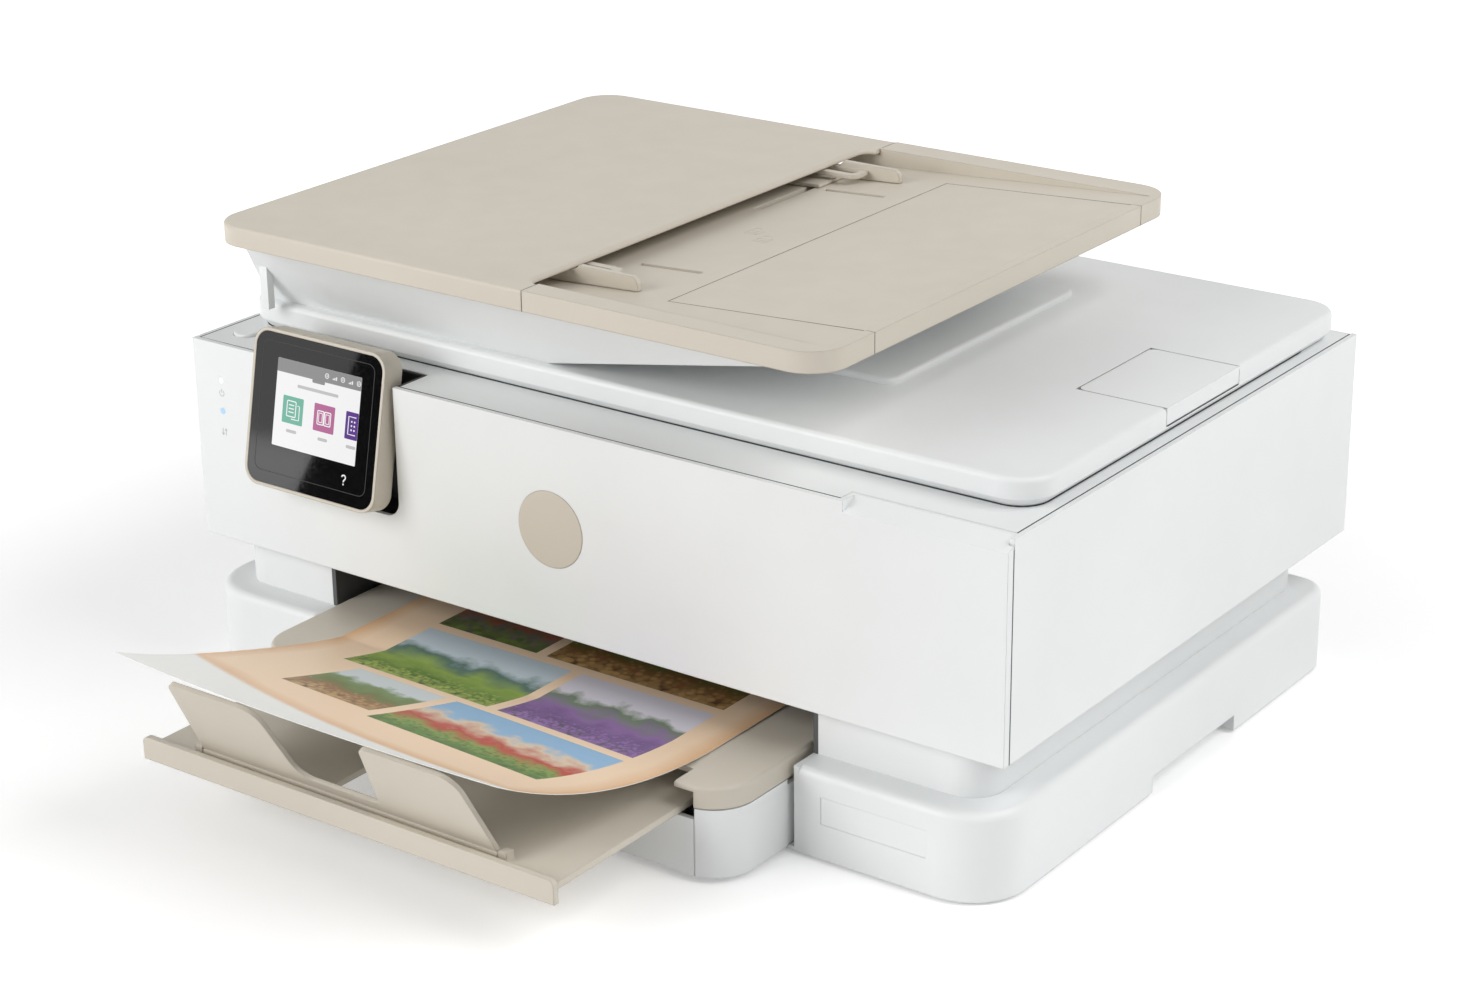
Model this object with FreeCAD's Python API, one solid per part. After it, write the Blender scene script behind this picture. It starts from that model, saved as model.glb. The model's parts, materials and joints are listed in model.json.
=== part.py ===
import FreeCAD, Part
import math
import os

os.makedirs("parts", exist_ok=True)
V = FreeCAD.Vector

# An all-in-one inkjet printer with a document feeder, in millimetres.
# X runs to the right, Y to the back and Z up. While it is drawn, Y is 0 on the front panel.

# Upper body
BODY_W = 460.0
BODY_D = 318.0
BODY_BOTTOM = 67.0
BODY_TOP = 168.0
WALL = 2.5
SEAM = 0.4
RUN_FIT = 0.05
PANEL_RETURN = 4.0
CORNER_SEAM = 0.8
FLOOR_T = 2.5
HALF = BODY_W / 2
FLOOR_TOP = BODY_BOTTOM + FLOOR_T

# Base under the body
BASE_FRONT = -7.0
BASE_REAR_IN = 10.0
BASE_BOTTOM = 1.5
BASE_TOP = 43.0
BASE_FLOOR = 2.0
BASE_R_FRONT = 28.0
BASE_R_REAR = 15.0
BASE_EDGE_R = 4.0
GRIP_FRONT = 131.0
GRIP_BACK = 209.0
GRIP_H = 8.0
GRIP_DEEP = 18.0
FOOT_R = 9.0
FOOT_INSET = 36.0

# Recessed neck and the paper bay
NECK_INSET = 14.0
NECK_FRONT = 8.0
NECK_REAR_IN = 18.0
NECK_R = 16.0
BAY_LEFT = -152.0
BAY_RIGHT = 129.0
BAY_REAR = 72.0
LINER_BACK = 110.0
LINTEL_D = 20.0
PATH_MARGIN = 12.0
PATH_LEAD = 16.0
PATH_TAIL = 14.0

# Front panel details
BADGE_X = -9.0
BADGE_Z = 118.7
BADGE_R = 18.5
BADGE_DEEP = 0.8
LIGHT_IN = 17.5
LIGHT_HIGH = 149.5
LIGHT_LOW = 133.7
LIGHT_R = 1.6
NOTCH_W = 83.0
NOTCH_DEEP = 11.0
NOTCH_DROP = 5.5
PLATE_IN = 60.0
PLATE_Z = 25.0
PLATE_W = 54.0
PLATE_H = 13.0
PLATE_T = 0.3

# Control panel, leaning forward at its foot
PANEL_IN = 85.5
PANEL_W = 83.0
PANEL_L = 76.0
PANEL_T = 13.0
PANEL_R = 9.0
PANEL_TILT = 11.8
PANEL_TOP_Z = 183.0
PANEL_AXIS_DOWN = 22.0
PANEL_AXIS_IN = 9.8
PANEL_RIM = 1.6
PANEL_GLASS_T = 1.6
PANEL_SIDE_GAP = 2.4
PANEL_PIN_R = 2.0
WELL_DEEP = 22.5
WELL_WALL = 1.6
WELL_R = 8.0

# Scanner deck
DECK_T = 4.5
DECK_REAR_IN = 1.2
TUB_SIDE = 27.0
TUB_FRONT = 25.0
TUB_REAR = 13.0
TUB_BOTTOM = 138.0
TUB_WALL = 2.0
GLASS_SIDE = 7.0
GLASS_W = 308.0
GLASS_FRONT = 52.0
GLASS_REAR = 31.0
GLASS_T = 2.8
GLASS_LEDGE = 5.0
SCAN_RAIL_R = 3.0
SCAN_RAIL_UP = 4.2
SCAN_BAR_W = 18.0
SCAN_BAR_H = 11.0
BUTTON_IN = 18.0
BUTTON_Y = 19.5
BUTTON_R = 6.5
BUTTON_PROUD = 1.5

# Rear hinge line shared by the deck and the lid
HINGE_OUT = 6.0
HINGE_UP = 2.0
HINGE_IN = 80.0
HINGE_ARM_H = 24.0
HINGE_R = 5.5
HINGE_PIN_R = 2.5
KNUCKLE_W = 10.0

# Scanner lid
LID_SIDE = 6.0
LID_FRONT = 30.0
LID_REAR = 2.0
LID_GAP = 0.5
LID_H = 14.0
LID_R = 18.0
LID_CHAMFER = 4.0
LID_EDGE_R = 2.5
LID_SKIN = 3.0
LID_RIM = 8.0
PAD_SIDE = 16.0
PAD_OVER = 4.0
PLATEAU_LEFT = -14.0
PLATEAU_RIGHT = 110.0
PLATEAU_FRONT = 97.0
PLATEAU_REAR = 57.0
PLATEAU_H = 3.0
CATCH_W = 45.0
CATCH_L = 67.0
CATCH_REAR = 108.0
CATCH_T = 8.0

# Document feeder
ADF_SIDE = 18.0
ADF_SHORT = 80.0
ADF_FRONT = -7.0
ADF_REAR = 25.5
ADF_H = 50.0
ADF_BAND = 9.7
ADF_R = 18.0
ADF_SPLIT = -15.0
ADF_LIP = 7.0
ADF_RIM_FRONT = 12.0
ADF_RIM_BACK = 15.5
ADF_SLOPE = 3.2
ADF_FLOOR_T = 6.0
ADF_FLOOR_LEFT = -105.0
ADF_FLOOR_MARGIN = 55.0
ADF_APRON_L = 45.0
ADF_APRON_T = 2.5
SLIT_LEFT = -13.0
SLIT_L = 35.0
SLIT_W = 3.0
MOUTH_R = 2.0
MOUTH_WALL = 2.5
HOUSE_LEDGE = 20.0
SLIT_FROM_FRONT = 38.0
SLIT_FROM_REAR = 27.0
HOUSE_SIDE = 12.0
HOUSE_FRONT = 36.0
HOUSE_REAR = 18.5
HOUSE_KNEE = -37.0
HOUSE_SHORT = 32.0
HOUSE_RIGHT_DOWN = 16.0
HOUSE_LEAN = 9.0
HOUSE_FLARE = 24.0
EXT_L = 108.0
EXT_FRONT = 32.0
EXT_REAR = 33.0
EXT_T = 2.6
EXT_END = 5.0
COVER_AXIS_IN = 5.0
COVER_AXIS_DOWN = 11.0
COVER_PIN_R = 1.5
COVER_LUG_IN = 24.0
COVER_LUG_W = 4.0
GUIDE_LEFT = -60.0
GUIDE_RIGHT = 15.0
GUIDE_FRONT_Y = 37.0
GUIDE_REAR_IN = 40.5
GUIDE_T = 3.0
GUIDE_TOP_IN = 0.5
GUIDE_R = 4.0
GUIDE_FOOT = 26.0
GUIDE_FOOT_T = 1.6
GUIDE_TRAVEL = 50.0
GUIDE_LIFT = 0.3
TAB_OVER = 18.0
TAB_L = 31.0
TAB_W = 15.0
TAB_T = 2.0
TAB_RIM = 4.0
TAB_R = 4.0
RACK_X = -33.0
RACK_W = 5.0
RACK_T = 2.5
PINION_R = 8.0
ADF_FEED_X = -130.0
ADF_FEED_UP = 19.0
ADF_FEED_R = 9.0
ADF_PICK_X = -82.0
ADF_PICK_R = 4.0
ADF_PICK_W = 50.0

# Paper tray
TRAY_GAP = 3.0
TRAY_FRONT = -53.0
TRAY_REAR_GAP = 6.0
TRAY_R = 20.0
TRAY_WALL = 2.5
TRAY_BOTTOM = 2.5
TRAY_FACE_TOP = 35.5
TRAY_WALL_TOP = 33.0
TRAY_LIFT = 0.4
TRAY_FLOOR_T = 2.0
TRAY_REAR_TOP = 27.0
NOTCH_X0 = -131.0
NOTCH_X1 = 109.0
NOTCH_TOP = 30.4
SEAM_CUT = 0.6
OUT_BOTTOM = 36.0
OUT_TOP = 46.0
OUT_SKIN = 2.5
OUT_BACK = 60.0
OUT_NOTCH = 14.0
RAIL_W = 4.0
EXTN_LEFT = -128.0
EXTN_RIGHT = 102.0
EXTN_FRONT = -142.0
EXTN_BACK = 22.0
EXTN_T = 3.2
EXTN_TOP = 35.0
EXTN_LIP_H = 11.0
EXTN_LIP_T = 3.0
EXTN_LIP_DROP = 3.8
EXTN_LIP_OVER = 3.0
EXTN_LIP_R = 3.0
HOLE_LEFT = -34.0
HOLE_W = 33.0
HOLE_BEHIND = 8.0
HOLE_L = 26.0
HOLE_R = 5.0
FLAP_Y = -132.0
FLAP_LEFT = -101.0
FLAP_RIGHT = 69.0
FLAP_L = 45.5
FLAP_T = 2.2
FLAP_LEAN = 26.0
FLAP_PIN_R = 1.0
FLAP_BARREL_R = 2.4
LUG_W = 5.0
EAR_LEFT_W = 52.4
EAR_RIGHT_W = 58.2
EAR_SPREAD = 8.0
EAR_LEAN = 6.0
EAR_R = 4.0
SHOULDER_R = 10.5
VALLEY_H = 7.3
VALLEY_R = 11.0
VALLEY_FOOT_R = 2.5
SIDE_GUIDE_X = 109.5
SIDE_GUIDE_FRONT = 70.0
SIDE_GUIDE_L = 110.0
SIDE_GUIDE_H = 19.0
SIDE_GUIDE_T = 2.5
SIDE_GUIDE_LIFT = 0.3
SIDE_FOOT_W = 22.0
SIDE_FOOT_IN = 35.0
SIDE_FOOT_T = 1.6
SHEET_X = -12.0
SHEET_W = 216.0
SHEET_T = 0.4
SHEET_BACK = 100.0
SHEET_FRONT = -164.0
SHEET_LIFT = 86.0

# Print mechanism
CHEEK_IN = 25.0
CHEEK_T = 3.0
CHEEK_L = 165.0
CHEEK_PAST = 5.0
CHEEK_TOP = 136.0
BEAM_REAR = 118.0
BEAM_T = 2.0
BEAM_CUT = 45.0
BEAM_FOOT_H = 8.0
ROD_AHEAD = 64.0
ROD_Z = 112.0
ROD_R = 4.0
CART_W = 80.0
CART_AHEAD = 64.0
CART_L = 77.0
CART_BOTTOM = 88.0
CART_TOP = 134.0
CART_PARK_IN = 45.0
STRIP_GAP = 2.0
STRIP_Z = 108.0
STRIP_H = 8.0
STRIP_T = 0.3
BELT_GAP = 5.0
BELT_Z = 122.0
BELT_W = 6.0
BELT_T = 1.4
BELT_IN = 13.0
BELT_R = 7.0
FEED_AHEAD = 38.0
FEED_Z = 86.0
FEED_R = 7.0
FEED_SLEEVE_W = 40.0
EXIT_AHEAD = 148.0
EXIT_Z = 78.0
EXIT_R = 6.0
EXIT_SLEEVE_W = 10.0
SLEEVE_IN = 20.0
SHAFT_R = 3.0
GEAR_W = 5.0
FEED_GEAR_R = 15.0
MOTOR_R = 13.0
MOTOR_L = 30.0
PULLEY_R = 7.0
PICK_REAR = 46.0
PICK_Z = 45.0
PICK_R = 12.0
PICK_W = 40.0
PICK_X = -11.5
PLATEN_AFTER = 8.0
PLATEN_BEFORE = 12.0
PLATEN_H = 10.0
STATION_IN = 13.0
STATION_GAP = 4.0
CUP_W = 16.0
CUP_PITCH = 30.0

# Electrics at the back
INLET_IN = 66.0
INLET_W = 28.0
INLET_H = 20.0
INLET_L = 22.0
USB_IN = 107.0
USB_W = 14.0
USB_H = 12.0
USB_L = 16.0
SOCKET_Z = 90.0
SOCKET_WALL = 3.0
USB_WALL = 2.0
BOARD_IN = 37.5
BOARD_W = 130.0
BOARD_D = 75.0
BOARD_REAR = 18.0
BOARD_UP = 6.0
BOARD_T = 1.6
POST_IN = 8.0
POST_R = 3.0
CHIP_W = 24.0
CHIP_H = 3.0
SUPPLY_IN = 82.5
SUPPLY_W = 85.0
SUPPLY_D = 65.0
SUPPLY_H = 40.0
SUPPLY_REAR = 13.0
VENT_MARGIN = 10.0
VENT_W = 3.0
VENT_PITCH = 9.0
SCREW_IN = 30.0
SCREW_R = 3.4
SCREW_T = 1.4

# Places that follow from the sizes above
BASE_BACK = BODY_D - BASE_REAR_IN
NECK_BACK = BODY_D - NECK_REAR_IN
BAY_BACK = BODY_D - BAY_REAR
LIGHT_X = -HALF + LIGHT_IN
NOTCH_LEFT = HALF - NOTCH_W
PLATE_X = HALF - PLATE_IN
PANEL_X = -HALF + PANEL_IN
DECK_BACK = BODY_D - DECK_REAR_IN
TUB_X = HALF - TUB_SIDE
TUB_BACK = BODY_D - TUB_REAR
GLASS_LEFT = -TUB_X + GLASS_SIDE
GLASS_RIGHT = GLASS_LEFT + GLASS_W
GLASS_BACK = TUB_BACK - GLASS_REAR
SCAN_RAIL_Y = (GLASS_FRONT + GLASS_BACK) / 2
BUTTON_X = -HALF + BUTTON_IN
HINGE_Y = BODY_D + HINGE_OUT
HINGE_Z = BODY_TOP + HINGE_UP
HINGE_X = HALF - HINGE_IN
LID_X = HALF - LID_SIDE
LID_BACK = BODY_D - LID_REAR
LID_TOP = BODY_TOP + LID_H
PLATEAU_BACK = LID_BACK - PLATEAU_REAR
CATCH_LEFT = LID_X - CATCH_W
CATCH_BACK = LID_BACK - CATCH_REAR
CATCH_FRONT = CATCH_BACK - CATCH_L
ADF_LEFT = -LID_X + ADF_SIDE
ADF_RIGHT = LID_X - ADF_SHORT
ADF_BACK = LID_BACK - ADF_REAR
ADF_TOP = LID_TOP + ADF_H
HOUSE_LEFT = -LID_X + HOUSE_SIDE
HOUSE_BACK = ADF_BACK - HOUSE_REAR
HOUSE_RIGHT = ADF_RIGHT - HOUSE_SHORT
HOUSE_RIGHT_Z = ADF_TOP - HOUSE_RIGHT_DOWN
EXT_LEFT = ADF_RIGHT - EXT_L
EXT_BACK = ADF_BACK - EXT_REAR
GUIDE_REAR_Y = ADF_BACK - GUIDE_REAR_IN
ADF_FEED_Z = LID_TOP + ADF_FEED_UP
TRAY_BACK = BAY_BACK - TRAY_REAR_GAP
SIDE_GUIDE_BACK = SIDE_GUIDE_FRONT + SIDE_GUIDE_L
CHEEK_X = HALF - CHEEK_IN
BEAM_Y = BODY_D - BEAM_REAR
CHEEK_BACK = BEAM_Y + CHEEK_PAST
CHEEK_FRONT = CHEEK_BACK - CHEEK_L
ROD_Y = BEAM_Y - ROD_AHEAD
CART_FRONT = ROD_Y - CART_AHEAD
CART_BACK = CART_FRONT + CART_L
CART_PARK = CHEEK_X - CART_PARK_IN
STRIP_Y = CART_BACK + STRIP_GAP
BELT_Y = STRIP_Y + BELT_GAP
BELT_X = CHEEK_X - BELT_IN
FEED_Y = BEAM_Y - FEED_AHEAD
EXIT_Y = BEAM_Y - EXIT_AHEAD
PATH_FRONT = EXIT_Y - PATH_LEAD
PATH_BACK = BAY_BACK - PATH_TAIL
PICK_Y = BAY_BACK - PICK_REAR
PLATEN_FRONT = EXIT_Y + PLATEN_AFTER
PLATEN_BACK = FEED_Y - PLATEN_BEFORE
STATION_LEFT = CART_PARK - CART_W / 2 + STATION_IN
INLET_X = HALF - INLET_IN
USB_X = -HALF + USB_IN

TILT = math.radians(PANEL_TILT)
SLOPE = math.tan(math.radians(ADF_SLOPE))
DECK_BOTTOM = BODY_TOP - DECK_T
LID_BOTTOM = BODY_TOP + LID_GAP
ADF_BOTTOM = ADF_TOP - ADF_BAND
INNER_X = HALF - WALL
TRAY_LEFT = BAY_LEFT + TRAY_GAP
TRAY_RIGHT = BAY_RIGHT - TRAY_GAP
TRAY_FLOOR = BASE_BOTTOM + BASE_FLOOR + TRAY_LIFT
COVER_AXIS_X = ADF_LEFT + COVER_AXIS_IN
COVER_AXIS_Z = ADF_TOP - COVER_AXIS_DOWN
FLAP_Z = EXTN_TOP + FLAP_T / 2 + SEAM


def box(x0, x1, y0, y1, z0, z1):
    return Part.makeBox(x1 - x0, y1 - y0, z1 - z0, V(x0, y0, z0))


def rod_x(x0, x1, y, z, radius):
    return Part.makeCylinder(radius, x1 - x0, V(x0, y, z), V(1, 0, 0))


def rod_y(x, y0, y1, z, radius):
    return Part.makeCylinder(radius, y1 - y0, V(x, y0, z), V(0, 1, 0))


def rod_z(x, y, z0, z1, radius):
    return Part.makeCylinder(radius, z1 - z0, V(x, y, z0), V(0, 0, 1))


def prism_x(points, x0, x1):
    corners = [V(x0, y, z) for y, z in points]
    return Part.Face(Part.makePolygon(corners + corners[:1])).extrude(V(x1 - x0, 0, 0))


def prism_y(points, y0, y1):
    corners = [V(x, y0, z) for x, z in points]
    return Part.Face(Part.makePolygon(corners + corners[:1])).extrude(V(0, y1 - y0, 0))


def join(*shapes):
    return shapes[0].multiFuse(list(shapes[1:])).removeSplitter()


def upright_edges(shape, y):
    picked = []
    for edge in shape.Edges:
        bound = edge.BoundBox
        if bound.XLength < 0.01 and bound.YLength < 0.01 and abs(bound.YMin - y) < 0.01:
            picked.append(edge)
    return picked


def level_edges(shape, z):
    return [e for e in shape.Edges if abs(e.BoundBox.ZMin - z) < 0.01 and abs(e.BoundBox.ZMax - z) < 0.01]


def edges_at(shape, x, z):
    """Edges along Y that pass one place."""
    picked = []
    for edge in shape.Edges:
        bound = edge.BoundBox
        flat = bound.XLength < 0.01 and bound.ZLength < 0.01
        if flat and abs(bound.XMin - x) < 0.01 and abs(bound.ZMin - z) < 0.01:
            picked.append(edge)
    return picked


def plan_block(x0, x1, y0, y1, z0, z1, front_r, back_r):
    """A block with rounded corners in plan."""
    block = box(x0, x1, y0, y1, z0, z1)
    block = block.makeFillet(front_r, upright_edges(block, y0))
    return block.makeFillet(back_r, upright_edges(block, y1))


def stadium_y(x0, x1, z, radius, y0, y1):
    """A long round-ended loop outline lying in the XZ plane."""
    middle = box(x0, x1, y0, y1, z - radius, z + radius)
    return join(middle, rod_y(x0, y0, y1, z, radius), rod_y(x1, y0, y1, z, radius))


def gear(radius, width, teeth, bore):
    """A spur gear on the X axis, from x = 0."""
    points = []
    for step in range(teeth * 2):
        tip = radius if step % 2 == 0 else radius - 1.2
        for nudge in (0.15, 0.85):
            angle = math.pi * (step + nudge) / teeth
            points.append((tip * math.cos(angle), tip * math.sin(angle)))
    return prism_x(points, 0, width).cut(rod_x(-1, width + 1, 0, 0, bore))


def tray_top(x):
    """Height of the feeder tray's sloping face."""
    return ADF_TOP - (ADF_RIGHT - x) * SLOPE


def base_shell():
    outer = plan_block(-HALF, HALF, BASE_FRONT, BASE_BACK, BASE_BOTTOM, BASE_TOP, BASE_R_FRONT, BASE_R_REAR)
    outer = outer.makeFillet(BASE_EDGE_R, level_edges(outer, BASE_TOP))
    inside_top = BASE_TOP - WALL
    floor = BASE_BOTTOM + BASE_FLOOR
    inner = plan_block(-INNER_X, INNER_X, BASE_FRONT + WALL, BASE_BACK - WALL, floor, inside_top,
                       BASE_R_FRONT - WALL, BASE_R_REAR - WALL)
    shell = outer.cut(inner).cut(neck_core(inside_top - 1, BASE_TOP + 1))
    for side in (BAY_LEFT - WALL, BAY_RIGHT):
        shell = shell.fuse(box(side, side + WALL, BASE_FRONT, BAY_BACK, BASE_BOTTOM, BASE_TOP))
    shell = shell.fuse(box(BAY_LEFT - WALL, BAY_RIGHT + WALL, BAY_BACK - WALL, BAY_BACK, BASE_BOTTOM,
                           BASE_TOP))
    shell = shell.cut(box(BAY_LEFT, BAY_RIGHT, BASE_FRONT - 1, BAY_BACK - WALL, floor, BASE_TOP + 1))
    grip_top = BASE_BOTTOM + GRIP_H
    for side in (-1, 1):
        pocket_wall = mirror_box(side, HALF - GRIP_DEEP - WALL, HALF - WALL / 2, GRIP_FRONT - WALL,
                                 GRIP_BACK + WALL, BASE_BOTTOM, grip_top + WALL)
        notch = mirror_box(side, HALF - GRIP_DEEP, HALF + 1, GRIP_FRONT, GRIP_BACK, BASE_BOTTOM - 1, grip_top)
        shell = shell.fuse(pocket_wall).cut(notch)
    return shell.cut(plate_recess()).removeSplitter()


def mirror_box(side, x0, x1, y0, y1, z0, z1):
    if side > 0:
        return box(x0, x1, y0, y1, z0, z1)
    return box(-x1, -x0, y0, y1, z0, z1)


def neck_core(z0, z1):
    reach = HALF - NECK_INSET - WALL
    return plan_block(-reach, reach, NECK_FRONT + WALL, NECK_BACK - WALL, z0, z1, NECK_R - WALL,
                      NECK_R - WALL)


def neck_frame():
    reach = HALF - NECK_INSET
    outer = plan_block(-reach, reach, NECK_FRONT, NECK_BACK, BASE_TOP, BODY_BOTTOM, NECK_R, NECK_R)
    ring = outer.cut(neck_core(BASE_TOP - 1, BODY_BOTTOM + 1))
    mouth = box(BAY_LEFT - WALL, BAY_RIGHT + WALL, NECK_FRONT - 1, NECK_FRONT + WALL + 1, BASE_TOP - 1,
                BODY_BOTTOM + 1)
    return ring.cut(mouth)


def bay_liner():
    left = box(BAY_LEFT - WALL, BAY_LEFT, NECK_FRONT, LINER_BACK, BASE_TOP, BODY_BOTTOM)
    right = box(BAY_RIGHT, BAY_RIGHT + WALL, NECK_FRONT, LINER_BACK, BASE_TOP, BODY_BOTTOM)
    lintel = box(BAY_LEFT, BAY_RIGHT, NECK_FRONT, NECK_FRONT + LINTEL_D, BODY_BOTTOM - WALL, BODY_BOTTOM)
    return join(left, right, lintel)


def rubber_feet():
    feet = []
    for x in (-HALF + FOOT_INSET, HALF - FOOT_INSET):
        for y in (BASE_FRONT + FOOT_INSET, BASE_BACK - FOOT_INSET):
            feet.append(rod_z(x, y, 0, BASE_BOTTOM, FOOT_R))
    return Part.makeCompound(feet)


def body_floor():
    plate = box(-INNER_X, INNER_X, WALL, BODY_D - WALL, BODY_BOTTOM, FLOOR_TOP)
    hole = box(BAY_LEFT + PATH_MARGIN, BAY_RIGHT - PATH_MARGIN, PATH_FRONT, PATH_BACK, BODY_BOTTOM - 1,
               FLOOR_TOP + 1)
    return join(plate.cut(hole), pick_arm())


def panel_point(down, inward):
    """A point of the leaning control panel, as Y and Z."""
    y = -down * math.sin(TILT) + inward * math.cos(TILT)
    z = PANEL_TOP_Z - down * math.cos(TILT) - inward * math.sin(TILT)
    return y, z


PANEL_AXIS_Y, PANEL_AXIS_Z = panel_point(PANEL_AXIS_DOWN, PANEL_AXIS_IN)
PANEL_SWING = math.hypot(PANEL_L - PANEL_AXIS_DOWN, PANEL_AXIS_IN)
WELL_BOTTOM = PANEL_AXIS_Z - PANEL_SWING - 1.4
WELL_HALF = PANEL_W / 2 + PANEL_SIDE_GAP


def front_panel():
    sheet = box(-HALF, HALF, 0, WALL, BODY_BOTTOM, BODY_TOP)
    panel = sheet
    for side in (-1, 1):
        panel = panel.fuse(mirror_box(side, INNER_X, HALF, 0, PANEL_RETURN, BODY_BOTTOM, BODY_TOP))
    panel = panel.fuse(box(NOTCH_LEFT, INNER_X, 0, NOTCH_DEEP, DECK_BOTTOM - 4, BODY_TOP))
    wedge = prism_x([(-1, BODY_TOP - NOTCH_DROP), (-1, BODY_TOP + 1), (NOTCH_DEEP - 2, BODY_TOP + 1),
                     (NOTCH_DEEP - 2, BODY_TOP)], NOTCH_LEFT + WALL, HALF + 1)
    well = box(PANEL_X - WELL_HALF, PANEL_X + WELL_HALF, -1, WALL + 1, WELL_BOTTOM, BODY_TOP + 1)
    well = well.makeFillet(WELL_R, level_corner_edges(well, WELL_BOTTOM))
    panel = panel.cut(wedge).cut(well)
    panel = panel.cut(rod_y(BADGE_X, -1, BADGE_DEEP, BADGE_Z, BADGE_R))
    for z in (LIGHT_HIGH, LIGHT_LOW):
        panel = panel.cut(rod_y(LIGHT_X, -1, WALL + 1, z, LIGHT_R))
    return panel.removeSplitter()


def level_corner_edges(shape, z):
    """Edges along Y that lie at height z."""
    return [e for e in level_edges(shape, z) if e.BoundBox.XLength < 0.01]


def badge_disc():
    return rod_y(BADGE_X, -0.2, BADGE_DEEP, BADGE_Z, BADGE_R - 0.1)


def status_lights():
    lights = [rod_y(LIGHT_X, 0, WALL + 2, z, LIGHT_R) for z in (LIGHT_HIGH, LIGHT_LOW)]
    board = box(LIGHT_X - 6, LIGHT_X + 6, WALL + 2, WALL + 3.6, LIGHT_LOW - 10, LIGHT_HIGH + 6)
    return join(board, *lights)


def plate_recess():
    """The shallow bare field on the base's front."""
    return box(PLATE_X - PLATE_W / 2, PLATE_X + PLATE_W / 2, BASE_FRONT - 1, BASE_FRONT + PLATE_T,
               PLATE_Z - PLATE_H / 2, PLATE_Z + PLATE_H / 2)


def side_panel(side):
    return mirror_box(side, INNER_X, HALF, PANEL_RETURN + CORNER_SEAM, BODY_D, BODY_BOTTOM, BODY_TOP)


def rear_panel():
    panel = box(-INNER_X, INNER_X, BODY_D - WALL, BODY_D, BODY_BOTTOM, DECK_BOTTOM - SEAM)
    panel = panel.cut(inlet_outline(BODY_D - WALL - 1, BODY_D + 1)).cut(usb_outline(BODY_D - WALL - 1,
                                                                                    BODY_D + 1))
    return join(panel, *hinge_brackets())


def inlet_outline(y0, y1, wall=0.0):
    """The mains inlet's outline on the rear panel, drawn in by a wall."""
    half_w = INLET_W / 2 - wall
    half_h = INLET_H / 2 - wall
    return box(INLET_X - half_w, INLET_X + half_w, y0, y1, SOCKET_Z - half_h, SOCKET_Z + half_h)


def usb_outline(y0, y1, wall=0.0):
    """The data socket's outline on the rear panel, drawn in by a wall."""
    half_w = USB_W / 2 - wall
    half_h = USB_H / 2 - wall
    return box(USB_X - half_w, USB_X + half_w, y0, y1, SOCKET_Z - half_h, SOCKET_Z + half_h)


def mains_inlet():
    floor_y = BODY_D - INLET_L + 8
    body = inlet_outline(BODY_D - INLET_L, BODY_D).cut(inlet_outline(floor_y, BODY_D + 1, SOCKET_WALL))
    pins = [rod_y(INLET_X + side * 5, floor_y - 1, BODY_D - 4, SOCKET_Z, 1.5) for side in (-1, 1)]
    return join(body, *pins)


def rear_sockets():
    return Part.makeCompound([mains_inlet(), usb_port()])


def usb_port():
    floor_y = BODY_D - USB_L + 6
    body = usb_outline(BODY_D - USB_L, BODY_D).cut(usb_outline(floor_y, BODY_D + 1, USB_WALL))
    tongue = usb_outline(floor_y - 1, BODY_D - 2, 2 * USB_WALL)
    return join(body, tongue)


def hinge_brackets():
    brackets = []
    for x in (-HINGE_X, HINGE_X):
        arm = box(x - KNUCKLE_W / 2, x + KNUCKLE_W / 2, BODY_D, HINGE_Y, HINGE_Z - HINGE_ARM_H, HINGE_Z)
        eye = rod_x(x - KNUCKLE_W / 2, x + KNUCKLE_W / 2, HINGE_Y, HINGE_Z, HINGE_R)
        bore = rod_x(x - KNUCKLE_W, x + KNUCKLE_W, HINGE_Y, HINGE_Z, HINGE_PIN_R + RUN_FIT)
        brackets.append(join(arm, eye).cut(bore))
    return brackets


def hinge_pins():
    """The pins of the rear hinges and of the control panel."""
    reach = KNUCKLE_W * 1.5 + 1
    pins = [rod_x(x - reach, x + reach, HINGE_Y, HINGE_Z, HINGE_PIN_R) for x in (-HINGE_X, HINGE_X)]
    panel_reach = WELL_HALF + WELL_WALL
    pins.append(rod_x(PANEL_X - panel_reach, PANEL_X + panel_reach, PANEL_AXIS_Y, PANEL_AXIS_Z, PANEL_PIN_R))
    return Part.makeCompound(pins)


def hinge_knuckles(step, tab_y, tab_low, tab_high):
    """Knuckles beside each bracket, with the tabs that carry them, and their bores."""
    knuckles = []
    bores = []
    for x in (-HINGE_X, HINGE_X):
        x0 = x + step * (KNUCKLE_W + SEAM) - KNUCKLE_W / 2
        x1 = x0 + KNUCKLE_W
        knuckles.append(rod_x(x0, x1, HINGE_Y, HINGE_Z, HINGE_R))
        knuckles.append(box(x0, x1, tab_y, HINGE_Y, tab_low, tab_high))
        bores.append(rod_x(x0 - 1, x1 + 1, HINGE_Y, HINGE_Z, HINGE_PIN_R + RUN_FIT))
    return knuckles, bores


def panel_well():
    low = WELL_BOTTOM - WELL_WALL - 1
    x0 = PANEL_X - WELL_HALF
    x1 = PANEL_X + WELL_HALF
    top = BODY_TOP - 0.2
    outer = box(x0 - WELL_WALL, x1 + WELL_WALL, WALL, WELL_DEEP, low, top)
    well = outer.cut(box(x0, x1, WALL - 1, WELL_DEEP - WELL_WALL, low + WELL_WALL, top + 1))
    return well.cut(rod_x(x0 - 5, x1 + 5, PANEL_AXIS_Y, PANEL_AXIS_Z, PANEL_PIN_R + RUN_FIT))


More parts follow.
